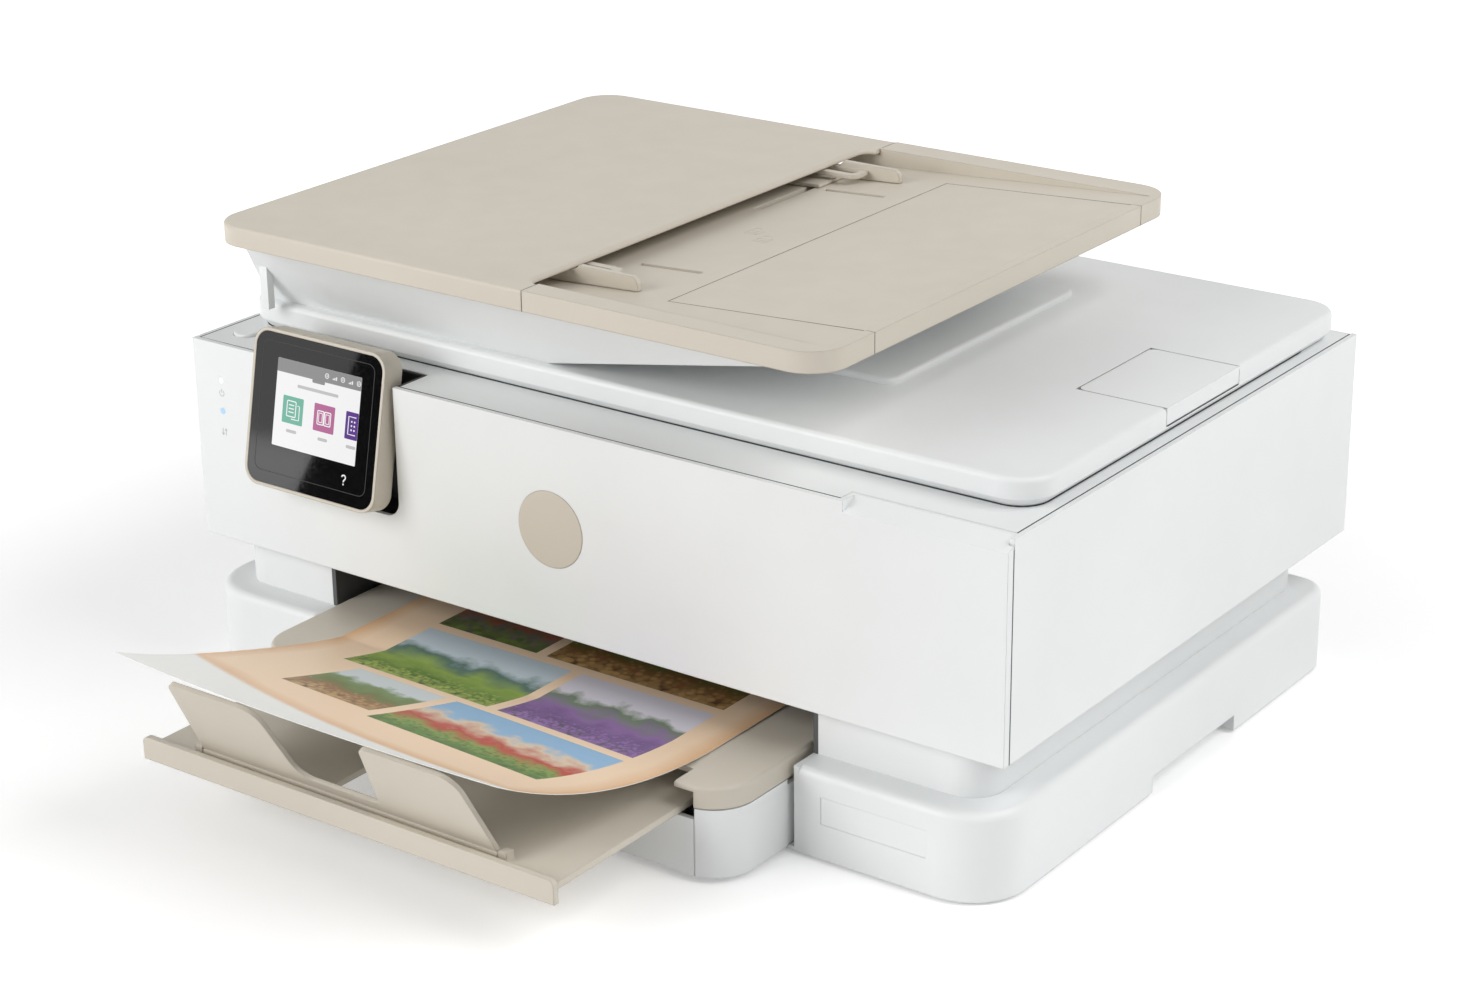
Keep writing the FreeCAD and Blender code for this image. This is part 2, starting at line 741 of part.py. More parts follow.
def panel_slab(inset, depth_from, depth_to, corner):
    """A rounded slab of the control panel, between two depths behind its face."""
    half = PANEL_W / 2 - inset
    slab = box(PANEL_X - half, PANEL_X + half, depth_from, depth_to, -PANEL_L + inset, -inset)
    edges = [e for e in slab.Edges if e.BoundBox.XLength < 0.01 and e.BoundBox.ZLength < 0.01]
    return slab.makeFillet(corner, edges)


def lean(shape):
    shape = shape.copy()
    shape.rotate(V(0, 0, 0), V(1, 0, 0), -PANEL_TILT)
    shape.translate(V(0, 0, PANEL_TOP_Z))
    return shape


def panel_housing():
    slab = panel_slab(0, 0, PANEL_T, PANEL_R)
    back_edges = [e for e in slab.Edges if abs(e.BoundBox.YMin - PANEL_T) < 0.01]
    slab = slab.makeFillet(2.0, back_edges)
    cavity = panel_slab(PANEL_RIM, -1, PANEL_T - 6.5, PANEL_R - PANEL_RIM)
    bore = rod_x(PANEL_X - PANEL_W, PANEL_X + PANEL_W, PANEL_AXIS_IN, -PANEL_AXIS_DOWN, PANEL_PIN_R + RUN_FIT)
    return lean(slab.cut(cavity).cut(bore))


def panel_glass():
    """The touch glass with the display bonded to its back."""
    glass = panel_slab(PANEL_RIM + 0.15, 0, PANEL_GLASS_T, PANEL_R - PANEL_RIM - 0.15)
    return lean(join(glass, panel_slab(6, PANEL_GLASS_T, PANEL_T - 6.5, 3)))


def scanner_deck():
    plate = box(-INNER_X + SEAM, INNER_X - SEAM, WALL + SEAM, DECK_BACK, DECK_BOTTOM, BODY_TOP)
    tub = box(-TUB_X, TUB_X, TUB_FRONT, TUB_BACK, TUB_BOTTOM, DECK_BOTTOM)
    room = box(-TUB_X + TUB_WALL, TUB_X - TUB_WALL, TUB_FRONT + TUB_WALL, TUB_BACK - TUB_WALL,
               TUB_BOTTOM + TUB_WALL, DECK_BOTTOM)
    knuckles, bores = hinge_knuckles(1, DECK_BACK - 3, HINGE_Z - HINGE_R, BODY_TOP)
    deck = join(plate, tub, *knuckles).cut(room)
    ledge = GLASS_LEDGE
    deck = deck.cut(box(GLASS_LEFT + ledge, GLASS_RIGHT - ledge, GLASS_FRONT + ledge, GLASS_BACK - ledge,
                        DECK_BOTTOM - 1, BODY_TOP + 1))
    deck = deck.cut(box(GLASS_LEFT - SEAM, GLASS_RIGHT + SEAM, GLASS_FRONT - SEAM, GLASS_BACK + SEAM,
                        BODY_TOP - GLASS_T, BODY_TOP + 1))
    pocket = WELL_HALF + WELL_WALL + SEAM
    deck = deck.cut(box(PANEL_X - pocket, PANEL_X + pocket, 0, WELL_DEEP + SEAM, DECK_BOTTOM - 1,
                        BODY_TOP + 1))
    deck = deck.cut(box(NOTCH_LEFT - SEAM, HALF, 0, NOTCH_DEEP + SEAM, DECK_BOTTOM - 1, BODY_TOP + 1))
    deck = deck.cut(rod_z(BUTTON_X, BUTTON_Y, DECK_BOTTOM - 1, BODY_TOP + 1, BUTTON_R + SEAM))
    for bore in bores:
        deck = deck.cut(bore)
    return deck


def scanner_glass():
    return box(GLASS_LEFT, GLASS_RIGHT, GLASS_FRONT, GLASS_BACK, BODY_TOP - GLASS_T, BODY_TOP)


SCAN_RAIL_Z = TUB_BOTTOM + TUB_WALL + SCAN_RAIL_UP


def scan_rail():
    reach = TUB_X - TUB_WALL
    return rod_x(-reach, reach, SCAN_RAIL_Y, SCAN_RAIL_Z, SCAN_RAIL_R)


def scan_bar():
    x0 = GLASS_LEFT + GLASS_LEDGE
    top = DECK_BOTTOM - 1.5
    bar = box(x0, x0 + SCAN_BAR_W, GLASS_FRONT + GLASS_LEDGE, GLASS_BACK - GLASS_LEDGE, top - SCAN_BAR_H, top)
    lens = box(x0 + 6, x0 + 12, GLASS_FRONT + 10, GLASS_BACK - 10, top - 1, top + 1)
    foot = box(x0, x0 + SCAN_BAR_W, SCAN_RAIL_Y - 7, SCAN_RAIL_Y + 7, TUB_BOTTOM + TUB_WALL + SEAM,
               top - SCAN_BAR_H)
    bore = rod_x(x0 - 1, x0 + SCAN_BAR_W + 1, SCAN_RAIL_Y, SCAN_RAIL_Z, SCAN_RAIL_R + RUN_FIT)
    return join(bar, foot).cut(lens).cut(bore)


def power_button():
    cap = rod_z(BUTTON_X, BUTTON_Y, DECK_BOTTOM - 2, BODY_TOP + BUTTON_PROUD, BUTTON_R)
    cap = cap.makeFillet(0.8, level_edges(cap, BODY_TOP + BUTTON_PROUD))
    flange = rod_z(BUTTON_X, BUTTON_Y, DECK_BOTTOM - 3.4, DECK_BOTTOM - SEAM, BUTTON_R + 1.6)
    return join(cap, flange)


def lid_shell():
    outer = plan_block(-LID_X, LID_X, LID_FRONT, LID_BACK, LID_BOTTOM, LID_TOP, LID_R, LID_R)
    outer = outer.makeChamfer(LID_CHAMFER, level_edges(outer, LID_BOTTOM))
    outer = outer.makeFillet(LID_EDGE_R, level_edges(outer, LID_TOP))
    knuckles, bores = hinge_knuckles(-1, LID_BACK - 6, HINGE_Z + 1, HINGE_Z + HINGE_R)
    plateau = plan_block(PLATEAU_LEFT, PLATEAU_RIGHT, PLATEAU_FRONT, PLATEAU_BACK, LID_TOP - 1,
                         LID_TOP + PLATEAU_H, 6, 6)
    plateau = plateau.makeFillet(2.0, level_edges(plateau, LID_TOP + PLATEAU_H))
    lid = join(outer, plateau, *knuckles)
    lid = lid.cut(box(-LID_X + LID_RIM, CATCH_LEFT - LID_RIM, LID_FRONT + LID_RIM, LID_BACK - LID_RIM,
                      LID_BOTTOM - 1, LID_TOP - LID_SKIN))
    lid = lid.cut(box(CATCH_LEFT - SEAM, LID_X + 1, CATCH_FRONT - SEAM, CATCH_BACK + SEAM,
                      LID_TOP - CATCH_T - SEAM, LID_TOP + 1))
    for bore in bores:
        lid = lid.cut(bore)
    return lid


def lid_pad():
    return box(-LID_X + LID_RIM + PAD_SIDE, GLASS_RIGHT + PAD_OVER, GLASS_FRONT - PAD_OVER,
               GLASS_BACK + PAD_OVER, LID_BOTTOM, LID_TOP - LID_SKIN)


def lid_catch():
    slab = box(CATCH_LEFT, LID_X, CATCH_FRONT, CATCH_BACK, LID_TOP - CATCH_T, LID_TOP)
    corners = [e for e in slab.Edges if e.BoundBox.ZLength > 1 and abs(e.BoundBox.XMin - CATCH_LEFT) < 0.01]
    return slab.makeFillet(4.0, corners)


def house_outline(inset):
    """The feeder housing's outline seen from the front, drawn in by a wall."""
    seat = tray_top(ADF_SPLIT) - ADF_FLOOR_T
    right_top = tray_top(HOUSE_RIGHT) - ADF_FLOOR_T
    low = LID_TOP + inset
    return [(HOUSE_LEFT + inset, low), (HOUSE_KNEE - inset / 2, low), (HOUSE_RIGHT - inset,
                                                                       HOUSE_RIGHT_Z + inset),
            (HOUSE_RIGHT - inset, right_top + 2 * inset), (ADF_SPLIT, seat + 2 * inset),
            (HOUSE_LEFT + HOUSE_LEAN + inset, seat + 2 * inset)]


def house_block(inset):
    block = prism_y(house_outline(inset), HOUSE_FRONT - HOUSE_FLARE + inset, HOUSE_BACK - inset)
    low = HOUSE_FRONT + inset
    high = HOUSE_FRONT - HOUSE_FLARE + inset
    seat = tray_top(ADF_SPLIT) - ADF_FLOOR_T
    wedge = prism_x([(high - 1, LID_TOP - 1), (low, LID_TOP - 1), (low, LID_TOP), (high, seat), (high - 1,
                                                                                                 seat)],
                    HOUSE_LEFT - 1, HOUSE_RIGHT + 1)
    return block.cut(wedge)


BEARING_FRONT = HOUSE_FRONT + 9
BEARING_BACK = HOUSE_BACK - 13
BEARING_T = 3.0


def cover_lugs(inward):
    """Y spans of the cover's two hinge lugs, or of the posts beside them."""
    front = ADF_FRONT + COVER_LUG_IN + inward * (COVER_LUG_W + SEAM)
    back = ADF_BACK - COVER_LUG_IN - COVER_LUG_W - inward * (COVER_LUG_W + SEAM)
    return [(front, front + COVER_LUG_W), (back, back + COVER_LUG_W)]


def adf_housing():
    house = house_block(0).cut(house_block(WALL))
    for y in (BEARING_FRONT, BEARING_BACK):
        plate = box(ADF_FEED_X - 14, ADF_FEED_X + 14, y, y + BEARING_T, LID_TOP, ADF_FEED_Z + 10)
        house = house.fuse(plate).cut(rod_y(ADF_FEED_X, y - 1, y + BEARING_T + 1, ADF_FEED_Z,
                                            SHAFT_R + RUN_FIT))
    for y0, y1 in cover_lugs(1):
        post = box(COVER_AXIS_X - 2, COVER_AXIS_X + 3, y0, y1, LID_TOP, COVER_AXIS_Z + 3)
        house = house.fuse(post)
    for outer, inner in zip(cover_lugs(0), cover_lugs(1)):
        pin = rod_y(COVER_AXIS_X, min(outer + inner), max(outer + inner), COVER_AXIS_Z, COVER_PIN_R)
        house = house.fuse(pin)
    return house.removeSplitter()


def mouth_edges(cover):
    """Upper edges of the cover that run round the mouth."""
    picked = []
    for edge in level_edges(cover, ADF_TOP):
        bound = edge.BoundBox
        across = ADF_SPLIT - ADF_LIP - 1 < bound.XMin < ADF_SPLIT - 1
        if across and bound.YMin > ADF_FRONT + 1 and bound.YMax < ADF_BACK - 1:
            picked.append(edge)
    return picked


def adf_cover():
    far = 2 * ADF_RIGHT
    outer = plan_block(ADF_LEFT, far, ADF_FRONT, ADF_BACK, ADF_BOTTOM, ADF_TOP, ADF_R, ADF_R)
    outer = outer.makeFillet(1.5, level_edges(outer, ADF_TOP))
    inner = plan_block(ADF_LEFT + WALL, far, ADF_FRONT + WALL, ADF_BACK - WALL, ADF_BOTTOM - 1,
                       ADF_TOP - WALL, ADF_R - WALL, ADF_R - WALL)
    cover = outer.cut(inner).cut(box(ADF_SPLIT - SEAM / 2, far + 1, ADF_FRONT - 1, ADF_BACK + 1, 0,
                                     ADF_TOP + 1))
    mouth = plan_block(ADF_SPLIT - ADF_LIP, far, ADF_FRONT + ADF_RIM_FRONT, ADF_BACK - ADF_RIM_BACK - 3,
                       ADF_BOTTOM - 1, ADF_TOP + 1, ADF_LIP, ADF_LIP)
    cover = cover.cut(mouth)
    cover = cover.makeFillet(MOUTH_R, mouth_edges(cover))
    for y0, y1 in cover_lugs(0):
        lug = box(COVER_AXIS_X - 2.5, COVER_AXIS_X + 4, y0, y1, COVER_AXIS_Z, ADF_TOP - WALL / 2)
        eye = rod_y(COVER_AXIS_X, y0, y1, COVER_AXIS_Z, 2.5)
        cover = cover.fuse(lug).fuse(eye)
        cover = cover.cut(rod_y(COVER_AXIS_X, y0 - 1, y1 + 1, COVER_AXIS_Z, COVER_PIN_R + RUN_FIT))
    return cover.removeSplitter()


def sloped_slab(x0, x1, y0, y1, down0, down1):
    """A slab parallel to the feeder tray's face, between two depths below it."""
    return prism_y([(x0, tray_top(x0) - down0), (x1, tray_top(x1) - down0), (x1, tray_top(x1) - down1),
                    (x0, tray_top(x0) - down1)], y0, y1)


def adf_tray():
    split = ADF_SPLIT + SEAM / 2
    rim_front = ADF_FRONT + ADF_RIM_FRONT
    rim_back = ADF_BACK - ADF_RIM_BACK
    floor = sloped_slab(split, ADF_RIGHT, ADF_FRONT + 3, ADF_BACK - 3, 0, ADF_FLOOR_T)
    tongue = sloped_slab(ADF_FLOOR_LEFT, split + 1, ADF_FRONT + ADF_FLOOR_MARGIN,
                         ADF_BACK - ADF_FLOOR_MARGIN + 30, 0, ADF_FLOOR_T)
    front = box(split, ADF_RIGHT, ADF_FRONT, rim_front, ADF_BOTTOM, ADF_TOP)
    back = box(split, ADF_RIGHT, rim_back, ADF_BACK, ADF_BOTTOM, ADF_TOP)
    end = box(ADF_RIGHT - EXT_END, ADF_RIGHT, ADF_FRONT, ADF_BACK, ADF_BOTTOM, ADF_TOP)
    tray = join(floor, front, back, end)
    tray = tray.common(plan_block(2 * ADF_LEFT, ADF_RIGHT, ADF_FRONT, ADF_BACK, 0, ADF_TOP, ADF_R, ADF_R))
    for y0, y1 in ((ADF_FRONT, ADF_FRONT + HOUSE_LEDGE), (ADF_BACK - HOUSE_LEDGE, ADF_BACK)):
        tray = tray.cut(box(split - 1, ADF_RIGHT + 1, y0, y1, 0, ADF_BOTTOM))
    inner = ADF_SPLIT - ADF_APRON_L
    apron = sloped_slab(inner, split + 1, ADF_FRONT + HOUSE_LEDGE, ADF_BACK - HOUSE_LEDGE, 0, ADF_APRON_T)
    walls = [box(inner, split + 1, y, y + MOUTH_WALL, ADF_BOTTOM, ADF_TOP - WALL - GUIDE_TOP_IN)
             for y in (rim_front - MOUTH_WALL, rim_back)]
    tray = join(tray, tongue, apron, *walls)
    for y in (GUIDE_FRONT_Y + SLIT_FROM_FRONT, GUIDE_REAR_Y - SLIT_FROM_REAR):
        slit = sloped_slab(SLIT_LEFT, SLIT_LEFT + SLIT_L, y - SLIT_W / 2, y + SLIT_W / 2, -1, SLIT_W)
        tray = tray.cut(slit)
    tray = tray.cut(sloped_slab(EXT_LEFT - SEAM, ADF_RIGHT + 9, EXT_FRONT - SEAM, EXT_BACK + SEAM, -3,
                                EXT_T + SEAM))
    tray = tray.cut(box(ADF_RIGHT - EXT_END - SEAM, ADF_RIGHT + 1, EXT_FRONT - SEAM, EXT_BACK + SEAM, 0,
                        ADF_TOP + 1))
    for x, y0, y1 in guide_slots():
        tray = tray.cut(box(x - 2.4, x + 2.4, y0, y1, 0, ADF_TOP + 1))
    axle = rod_z(RACK_X, guide_middle(), rack_level() - 2, tray_top(RACK_X) - 2, 2.0)
    return join(tray, axle, *pick_posts())


def guide_middle():
    return (GUIDE_FRONT_Y + GUIDE_REAR_Y) / 2


def rack_level():
    return tray_top(RACK_X - PINION_R - RACK_W) - ADF_FLOOR_T - RACK_T - 0.8


def guide_slots():
    """Places of the slots that the two guides' stems run in: X and the Y span."""
    offset = PINION_R + SEAM + RACK_W / 2
    front = GUIDE_FRONT_Y + GUIDE_FOOT - 8
    back = GUIDE_REAR_Y - GUIDE_FOOT + 8
    front_slot = (RACK_X - offset, front - 3, front + GUIDE_TRAVEL + 3)
    rear_slot = (RACK_X + offset, back - GUIDE_TRAVEL - 3, back + 3)
    return [front_slot, rear_slot]


def adf_guide(rear):
    """One paper guide: its wall, its foot on the tray, its stack limit tab, its stem and its rack."""
    side = -1 if rear else 1
    wall_y = GUIDE_REAR_Y if rear else GUIDE_FRONT_Y
    y0, y1 = sorted((wall_y, wall_y + side * GUIDE_T))
    lip_x = ADF_SPLIT - ADF_LIP + 1
    low = ADF_TOP - WALL - 0.8
    high = ADF_TOP - GUIDE_TOP_IN
    left = (GUIDE_LEFT, tray_top(GUIDE_LEFT) + GUIDE_LIFT)
    right = (GUIDE_RIGHT, tray_top(GUIDE_RIGHT) + GUIDE_LIFT)
    wall = prism_y([left, (GUIDE_LEFT, low), (lip_x, low), (lip_x + 3, high), (GUIDE_RIGHT, high), right],
                   y0, y1)
    round_r = min(GUIDE_R, 0.7 * (high - right[1]))
    wall = wall.makeFillet(round_r, edges_at(wall, GUIDE_RIGHT, high))
    f0, f1 = sorted((wall_y, wall_y + side * GUIDE_FOOT))
    foot = sloped_slab(GUIDE_LEFT, RACK_X + 16, f0, f1, -GUIDE_LIFT - GUIDE_FOOT_T, -GUIDE_LIFT)
    tab_x = lip_x + TAB_OVER
    t0, t1 = sorted((wall_y + side, wall_y + side * TAB_W))
    tab = plan_block(tab_x - TAB_L, tab_x, t0, t1, low - TAB_T, low, TAB_R, TAB_R)
    s0, s1 = sorted((wall_y + side * (GUIDE_T + 1), wall_y + side * (TAB_W - TAB_RIM)))
    tab = tab.cut(plan_block(tab_x - TAB_L + TAB_RIM, tab_x - TAB_RIM, s0, s1, low - TAB_T - 1, low + 1,
                             TAB_R / 2, TAB_R / 2))
    slot_x = guide_slots()[1 if rear else 0][0]
    stem_y = wall_y + side * (GUIDE_FOOT - 8)
    level = rack_level()
    stem = box(slot_x - 1.8, slot_x + 1.8, stem_y - 2.4, stem_y + 2.4, level, tray_top(slot_x) + 1)
    r0, r1 = sorted((stem_y - side * 2.4, guide_middle() + side * 14))
    rack = box(slot_x - RACK_W / 2, slot_x + RACK_W / 2, r0, r1, level, level + RACK_T)
    return join(wall, foot, tab, stem, rack)


def adf_pinion():
    wheel = gear(PINION_R, RACK_T, 16, 2.0 + RUN_FIT)
    wheel.rotate(V(0, 0, 0), V(0, 1, 0), -90)
    wheel.translate(V(RACK_X, guide_middle(), rack_level()))
    return wheel


def adf_extender():
    leaf = sloped_slab(EXT_LEFT, ADF_RIGHT, EXT_FRONT, EXT_BACK, 0, EXT_T)
    end = box(ADF_RIGHT - EXT_END, ADF_RIGHT, EXT_FRONT, EXT_BACK, ADF_BOTTOM, ADF_TOP)
    return join(leaf, end)


def adf_feed_roller():
    shaft = rod_y(ADF_FEED_X, BEARING_FRONT - 2, BEARING_BACK + BEARING_T + 2, ADF_FEED_Z, SHAFT_R)
    sleeve = rod_y(ADF_FEED_X, BEARING_FRONT + 15, BEARING_BACK - 12, ADF_FEED_Z, ADF_FEED_R)
    return join(shaft, sleeve)


ADF_PICK_Z = tray_top(ADF_PICK_X) + ADF_PICK_R + 0.7


def adf_pick_roller():
    y = guide_middle()
    shaft = rod_y(ADF_PICK_X, y - ADF_PICK_W / 2 - 5, y + ADF_PICK_W / 2 + 5, ADF_PICK_Z, 1.5)
    return join(shaft, rod_y(ADF_PICK_X, y - ADF_PICK_W / 2, y + ADF_PICK_W / 2, ADF_PICK_Z, ADF_PICK_R))


def pick_posts():
    """The two posts that carry the feeder's pick roller."""
    y = guide_middle()
    half = ADF_PICK_W / 2
    posts = []
    for y0 in (y - half - 4, y + half + 1):
        foot_z = tray_top(ADF_PICK_X + 6)
        post = prism_y([(ADF_PICK_X - 6, tray_top(ADF_PICK_X - 6)), (ADF_PICK_X + 6, foot_z),
                        (ADF_PICK_X + 4, ADF_PICK_Z + 3.4), (ADF_PICK_X - 4, ADF_PICK_Z + 3.4)], y0, y0 + 3)
        posts.append(post.cut(rod_y(ADF_PICK_X, y0 - 1, y0 + 4, ADF_PICK_Z, 1.5 + RUN_FIT)))
    return posts


def tray_box():
    lift = TRAY_FLOOR
    inside = plan_block(TRAY_LEFT, TRAY_RIGHT, TRAY_FRONT, TRAY_BACK, lift, TRAY_WALL_TOP, TRAY_R, 4)
    face = plan_block(TRAY_LEFT, TRAY_RIGHT, TRAY_FRONT, TRAY_BACK, TRAY_BOTTOM, TRAY_FACE_TOP, TRAY_R, 4)
    face = face.makeFillet(1.2, level_edges(face, TRAY_BOTTOM))
    face = face.common(box(TRAY_LEFT - 1, TRAY_RIGHT + 1, TRAY_FRONT - 1, BASE_FRONT - SEAM, 0, OUT_TOP))
    cavity = plan_block(TRAY_LEFT + TRAY_WALL, TRAY_RIGHT - TRAY_WALL, TRAY_FRONT + TRAY_WALL,
                        TRAY_BACK - TRAY_WALL, lift + TRAY_FLOOR_T, TRAY_FACE_TOP + 1, TRAY_R - TRAY_WALL, 2)
    tray = join(inside, face).cut(cavity)
    tray = tray.cut(box(NOTCH_X0, NOTCH_X1, TRAY_FRONT - 1, TRAY_FRONT + TRAY_R, NOTCH_TOP, OUT_TOP))
    tray = tray.cut(box(TRAY_LEFT + TRAY_WALL, TRAY_RIGHT - TRAY_WALL, TRAY_BACK - 5, TRAY_BACK + 1,
                        TRAY_REAR_TOP, OUT_TOP))
    for x in (NOTCH_X0, NOTCH_X1):
        tray = tray.cut(box(x - SEAM_CUT / 2, x + SEAM_CUT / 2, TRAY_FRONT - 1, TRAY_FRONT + 0.8, 0, OUT_TOP))
    return tray.removeSplitter()


def output_tray():
    outer = plan_block(TRAY_LEFT, TRAY_RIGHT, TRAY_FRONT, OUT_BACK, OUT_BOTTOM, OUT_TOP, TRAY_R, 2)
    outer = outer.makeFillet(1.5, level_edges(outer, OUT_TOP))
    channel = box(NOTCH_X0, NOTCH_X1, TRAY_FRONT - 1, OUT_BACK + 1, OUT_BOTTOM - 1, OUT_TOP - OUT_SKIN)
    notch = box(NOTCH_X0 + 12, NOTCH_X1 - 10, TRAY_FRONT - 1, TRAY_FRONT + OUT_NOTCH, OUT_BOTTOM, OUT_TOP + 1)
    tray = outer.cut(channel).cut(notch)
    rail_top = EXTN_TOP - EXTN_T - 0.3
    for x0, x1 in ((TRAY_LEFT + TRAY_WALL + SEAM, NOTCH_X0 + 2 * RAIL_W), (NOTCH_X1 - 3 * RAIL_W,
                                                                           TRAY_RIGHT - TRAY_WALL - SEAM)):
        tray = tray.fuse(box(x0, x1, TRAY_FRONT + TRAY_R, OUT_BACK, rail_top - 2, rail_top))
    for x0, x1 in ((TRAY_LEFT + TRAY_WALL + SEAM, NOTCH_X0), (NOTCH_X1, TRAY_RIGHT - TRAY_WALL - SEAM)):
        tray = tray.fuse(box(x0, x1, TRAY_FRONT + TRAY_R, OUT_BACK, rail_top - 2, OUT_BOTTOM))
    return tray.removeSplitter()


def output_extension():
    plate = box(EXTN_LEFT, EXTN_RIGHT, EXTN_FRONT, EXTN_BACK, EXTN_TOP - EXTN_T, EXTN_TOP)
    room = FLAP_BARREL_R + 0.6
    slot = box(FLAP_LEFT - SEAM, FLAP_RIGHT + SEAM, FLAP_Y - room, FLAP_Y + room, 0, EXTN_TOP + 1)
    hole_y = FLAP_Y + HOLE_BEHIND
    hole = plan_block(HOLE_LEFT, HOLE_LEFT + HOLE_W, hole_y, hole_y + HOLE_L, 0, OUT_TOP, HOLE_R, HOLE_R)
    pieces = [rod_x(FLAP_LEFT - LUG_W, FLAP_RIGHT + LUG_W, FLAP_Y, FLAP_Z, FLAP_PIN_R)]
    for x0, x1 in ((FLAP_LEFT - LUG_W, FLAP_LEFT - SEAM), (FLAP_RIGHT + SEAM, FLAP_RIGHT + LUG_W)):
        pieces.append(box(x0, x1, FLAP_Y - FLAP_BARREL_R, FLAP_Y + FLAP_BARREL_R, EXTN_TOP - 1,
                          FLAP_Z + FLAP_BARREL_R))
    return join(join(plate, extension_lip()).cut(slot).cut(hole), *pieces)


def extension_lip():
    """The pull edge along the extension's front."""
    left = EXTN_LEFT - EXTN_LIP_OVER
    right = EXTN_RIGHT + EXTN_LIP_OVER
    low = EXTN_TOP - EXTN_T - EXTN_LIP_DROP
    high = low + EXTN_LIP_H
    lip = box(left, right, EXTN_FRONT, EXTN_FRONT + EXTN_LIP_T, low, high)
    return lip.makeFillet(EXTN_LIP_R, edges_at(lip, left, high) + edges_at(lip, right, high))


def output_flap():
    """The paper stop: a leaf with two raised ears and a rounded valley between them."""
    left_ear = FLAP_LEFT + EAR_LEFT_W
    right_ear = FLAP_RIGHT - EAR_RIGHT_W
    corners = [(FLAP_LEFT, FLAP_L, EAR_R), (left_ear, FLAP_L, SHOULDER_R), (left_ear + EAR_SPREAD, VALLEY_H,
                                                                            VALLEY_R),
               (right_ear - EAR_SPREAD * 0.6, VALLEY_H, VALLEY_FOOT_R), (right_ear, FLAP_L, EAR_R),
               (FLAP_RIGHT - EAR_LEAN, FLAP_L, SHOULDER_R)]
    outline = [(FLAP_LEFT, 0)] + [(x, z) for x, z, radius in corners] + [(FLAP_RIGHT, 0)]
    leaf = prism_y(outline, -FLAP_T / 2, FLAP_T / 2)
    for x, z, radius in corners:
        leaf = leaf.makeFillet(radius, edges_at(leaf, x, z))
    barrel = rod_x(FLAP_LEFT, FLAP_RIGHT, 0, 0, FLAP_BARREL_R)
    flap = join(leaf, barrel).cut(rod_x(FLAP_LEFT - 1, FLAP_RIGHT + 1, 0, 0, FLAP_PIN_R + RUN_FIT))
    flap.rotate(V(0, 0, 0), V(1, 0, 0), FLAP_LEAN)
    flap.translate(V(0, FLAP_Y, FLAP_Z))
    return flap


def tray_guide(side):
    """A width guide standing on the paper tray's floor."""
    x = (TRAY_LEFT + TRAY_RIGHT) / 2 + side * SIDE_GUIDE_X
    x0, x1 = sorted((x, x + side * SIDE_GUIDE_T))
    base = TRAY_FLOOR + TRAY_FLOOR_T + SIDE_GUIDE_LIFT
    wall = box(x0, x1, SIDE_GUIDE_FRONT, SIDE_GUIDE_BACK, base, base + SIDE_GUIDE_H)
    f0, f1 = sorted((x, x - side * SIDE_FOOT_W))
    foot = box(f0, f1, SIDE_GUIDE_FRONT + SIDE_FOOT_IN, SIDE_GUIDE_BACK - SIDE_FOOT_IN, base,
               base + SIDE_FOOT_T)
    return join(wall, foot)


def printed_sheet():
    """A sheet of paper that lies on the output tray and curls up at its front edge."""
    low = OUT_TOP + 0.3
    start = V(0, SHEET_BACK, low)
    bend = V(0, TRAY_FRONT + 30, low)
    finish = V(0, SHEET_FRONT, SHEET_LIFT)
    middle = V(0, (bend.y + finish.y) / 2, low + (SHEET_LIFT - low) * 0.27)
    up = V(0, 0, SHEET_T)
    lower = [Part.makeLine(start, bend), Part.Arc(bend, middle, finish).toShape()]
    upper = [Part.Arc(finish + up, middle + up, bend + up).toShape(), Part.makeLine(bend + up, start + up)]
    front_edge = Part.makeLine(finish, finish + up)
    back_edge = Part.makeLine(start + up, start)
    outline = Part.Wire(lower + [front_edge] + upper + [back_edge])
    sheet = Part.Face(outline).extrude(V(SHEET_W, 0, 0))
    sheet.translate(V(SHEET_X - SHEET_W / 2, 0, 0))
    return sheet


def mech_frame():
    behind = BEAM_Y + BEAM_T
    back = box(-CHEEK_X + BEAM_CUT, CHEEK_X, BEAM_Y, behind, FLOOR_TOP, CHEEK_TOP)
    frame = [back, box(-CHEEK_X, CHEEK_X, BEAM_Y, behind, FLOOR_TOP, FLOOR_TOP + BEAM_FOOT_H)]
    for side in (-1, 1):
        frame.append(mirror_box(side, CHEEK_X, CHEEK_X + CHEEK_T, CHEEK_FRONT, CHEEK_BACK, FLOOR_TOP,
                                CHEEK_TOP))
    frame = join(*frame)
    reach = CHEEK_X + CHEEK_T + 1
    for y, z, radius in ((ROD_Y, ROD_Z, ROD_R), (FEED_Y, FEED_Z, SHAFT_R), (EXIT_Y, EXIT_Z, SHAFT_R)):
        frame = frame.cut(rod_x(-reach, reach, y, z, radius + RUN_FIT))
    my, mz = motor_place()
    frame = frame.cut(rod_x(-reach, 0, my, mz, SHAFT_R))
    frame = frame.cut(rod_y(BELT_X, BEAM_Y - 1, behind + 1, BELT_Z, 2.0 + RUN_FIT))
    return join(frame, *idler_mount())


def motor_place():
    """The feed motor's shaft, as Y and Z, in mesh with the feed gear."""
    reach = FEED_GEAR_R + pinion_radius() - 0.9
    return FEED_Y + reach * math.cos(math.radians(48)), FEED_Z + reach * math.sin(math.radians(48))


def pinion_radius():
    return FEED_GEAR_R * 12 / 30


def carriage_rod():
    return rod_x(-CHEEK_X - CHEEK_T, CHEEK_X + CHEEK_T, ROD_Y, ROD_Z, ROD_R)


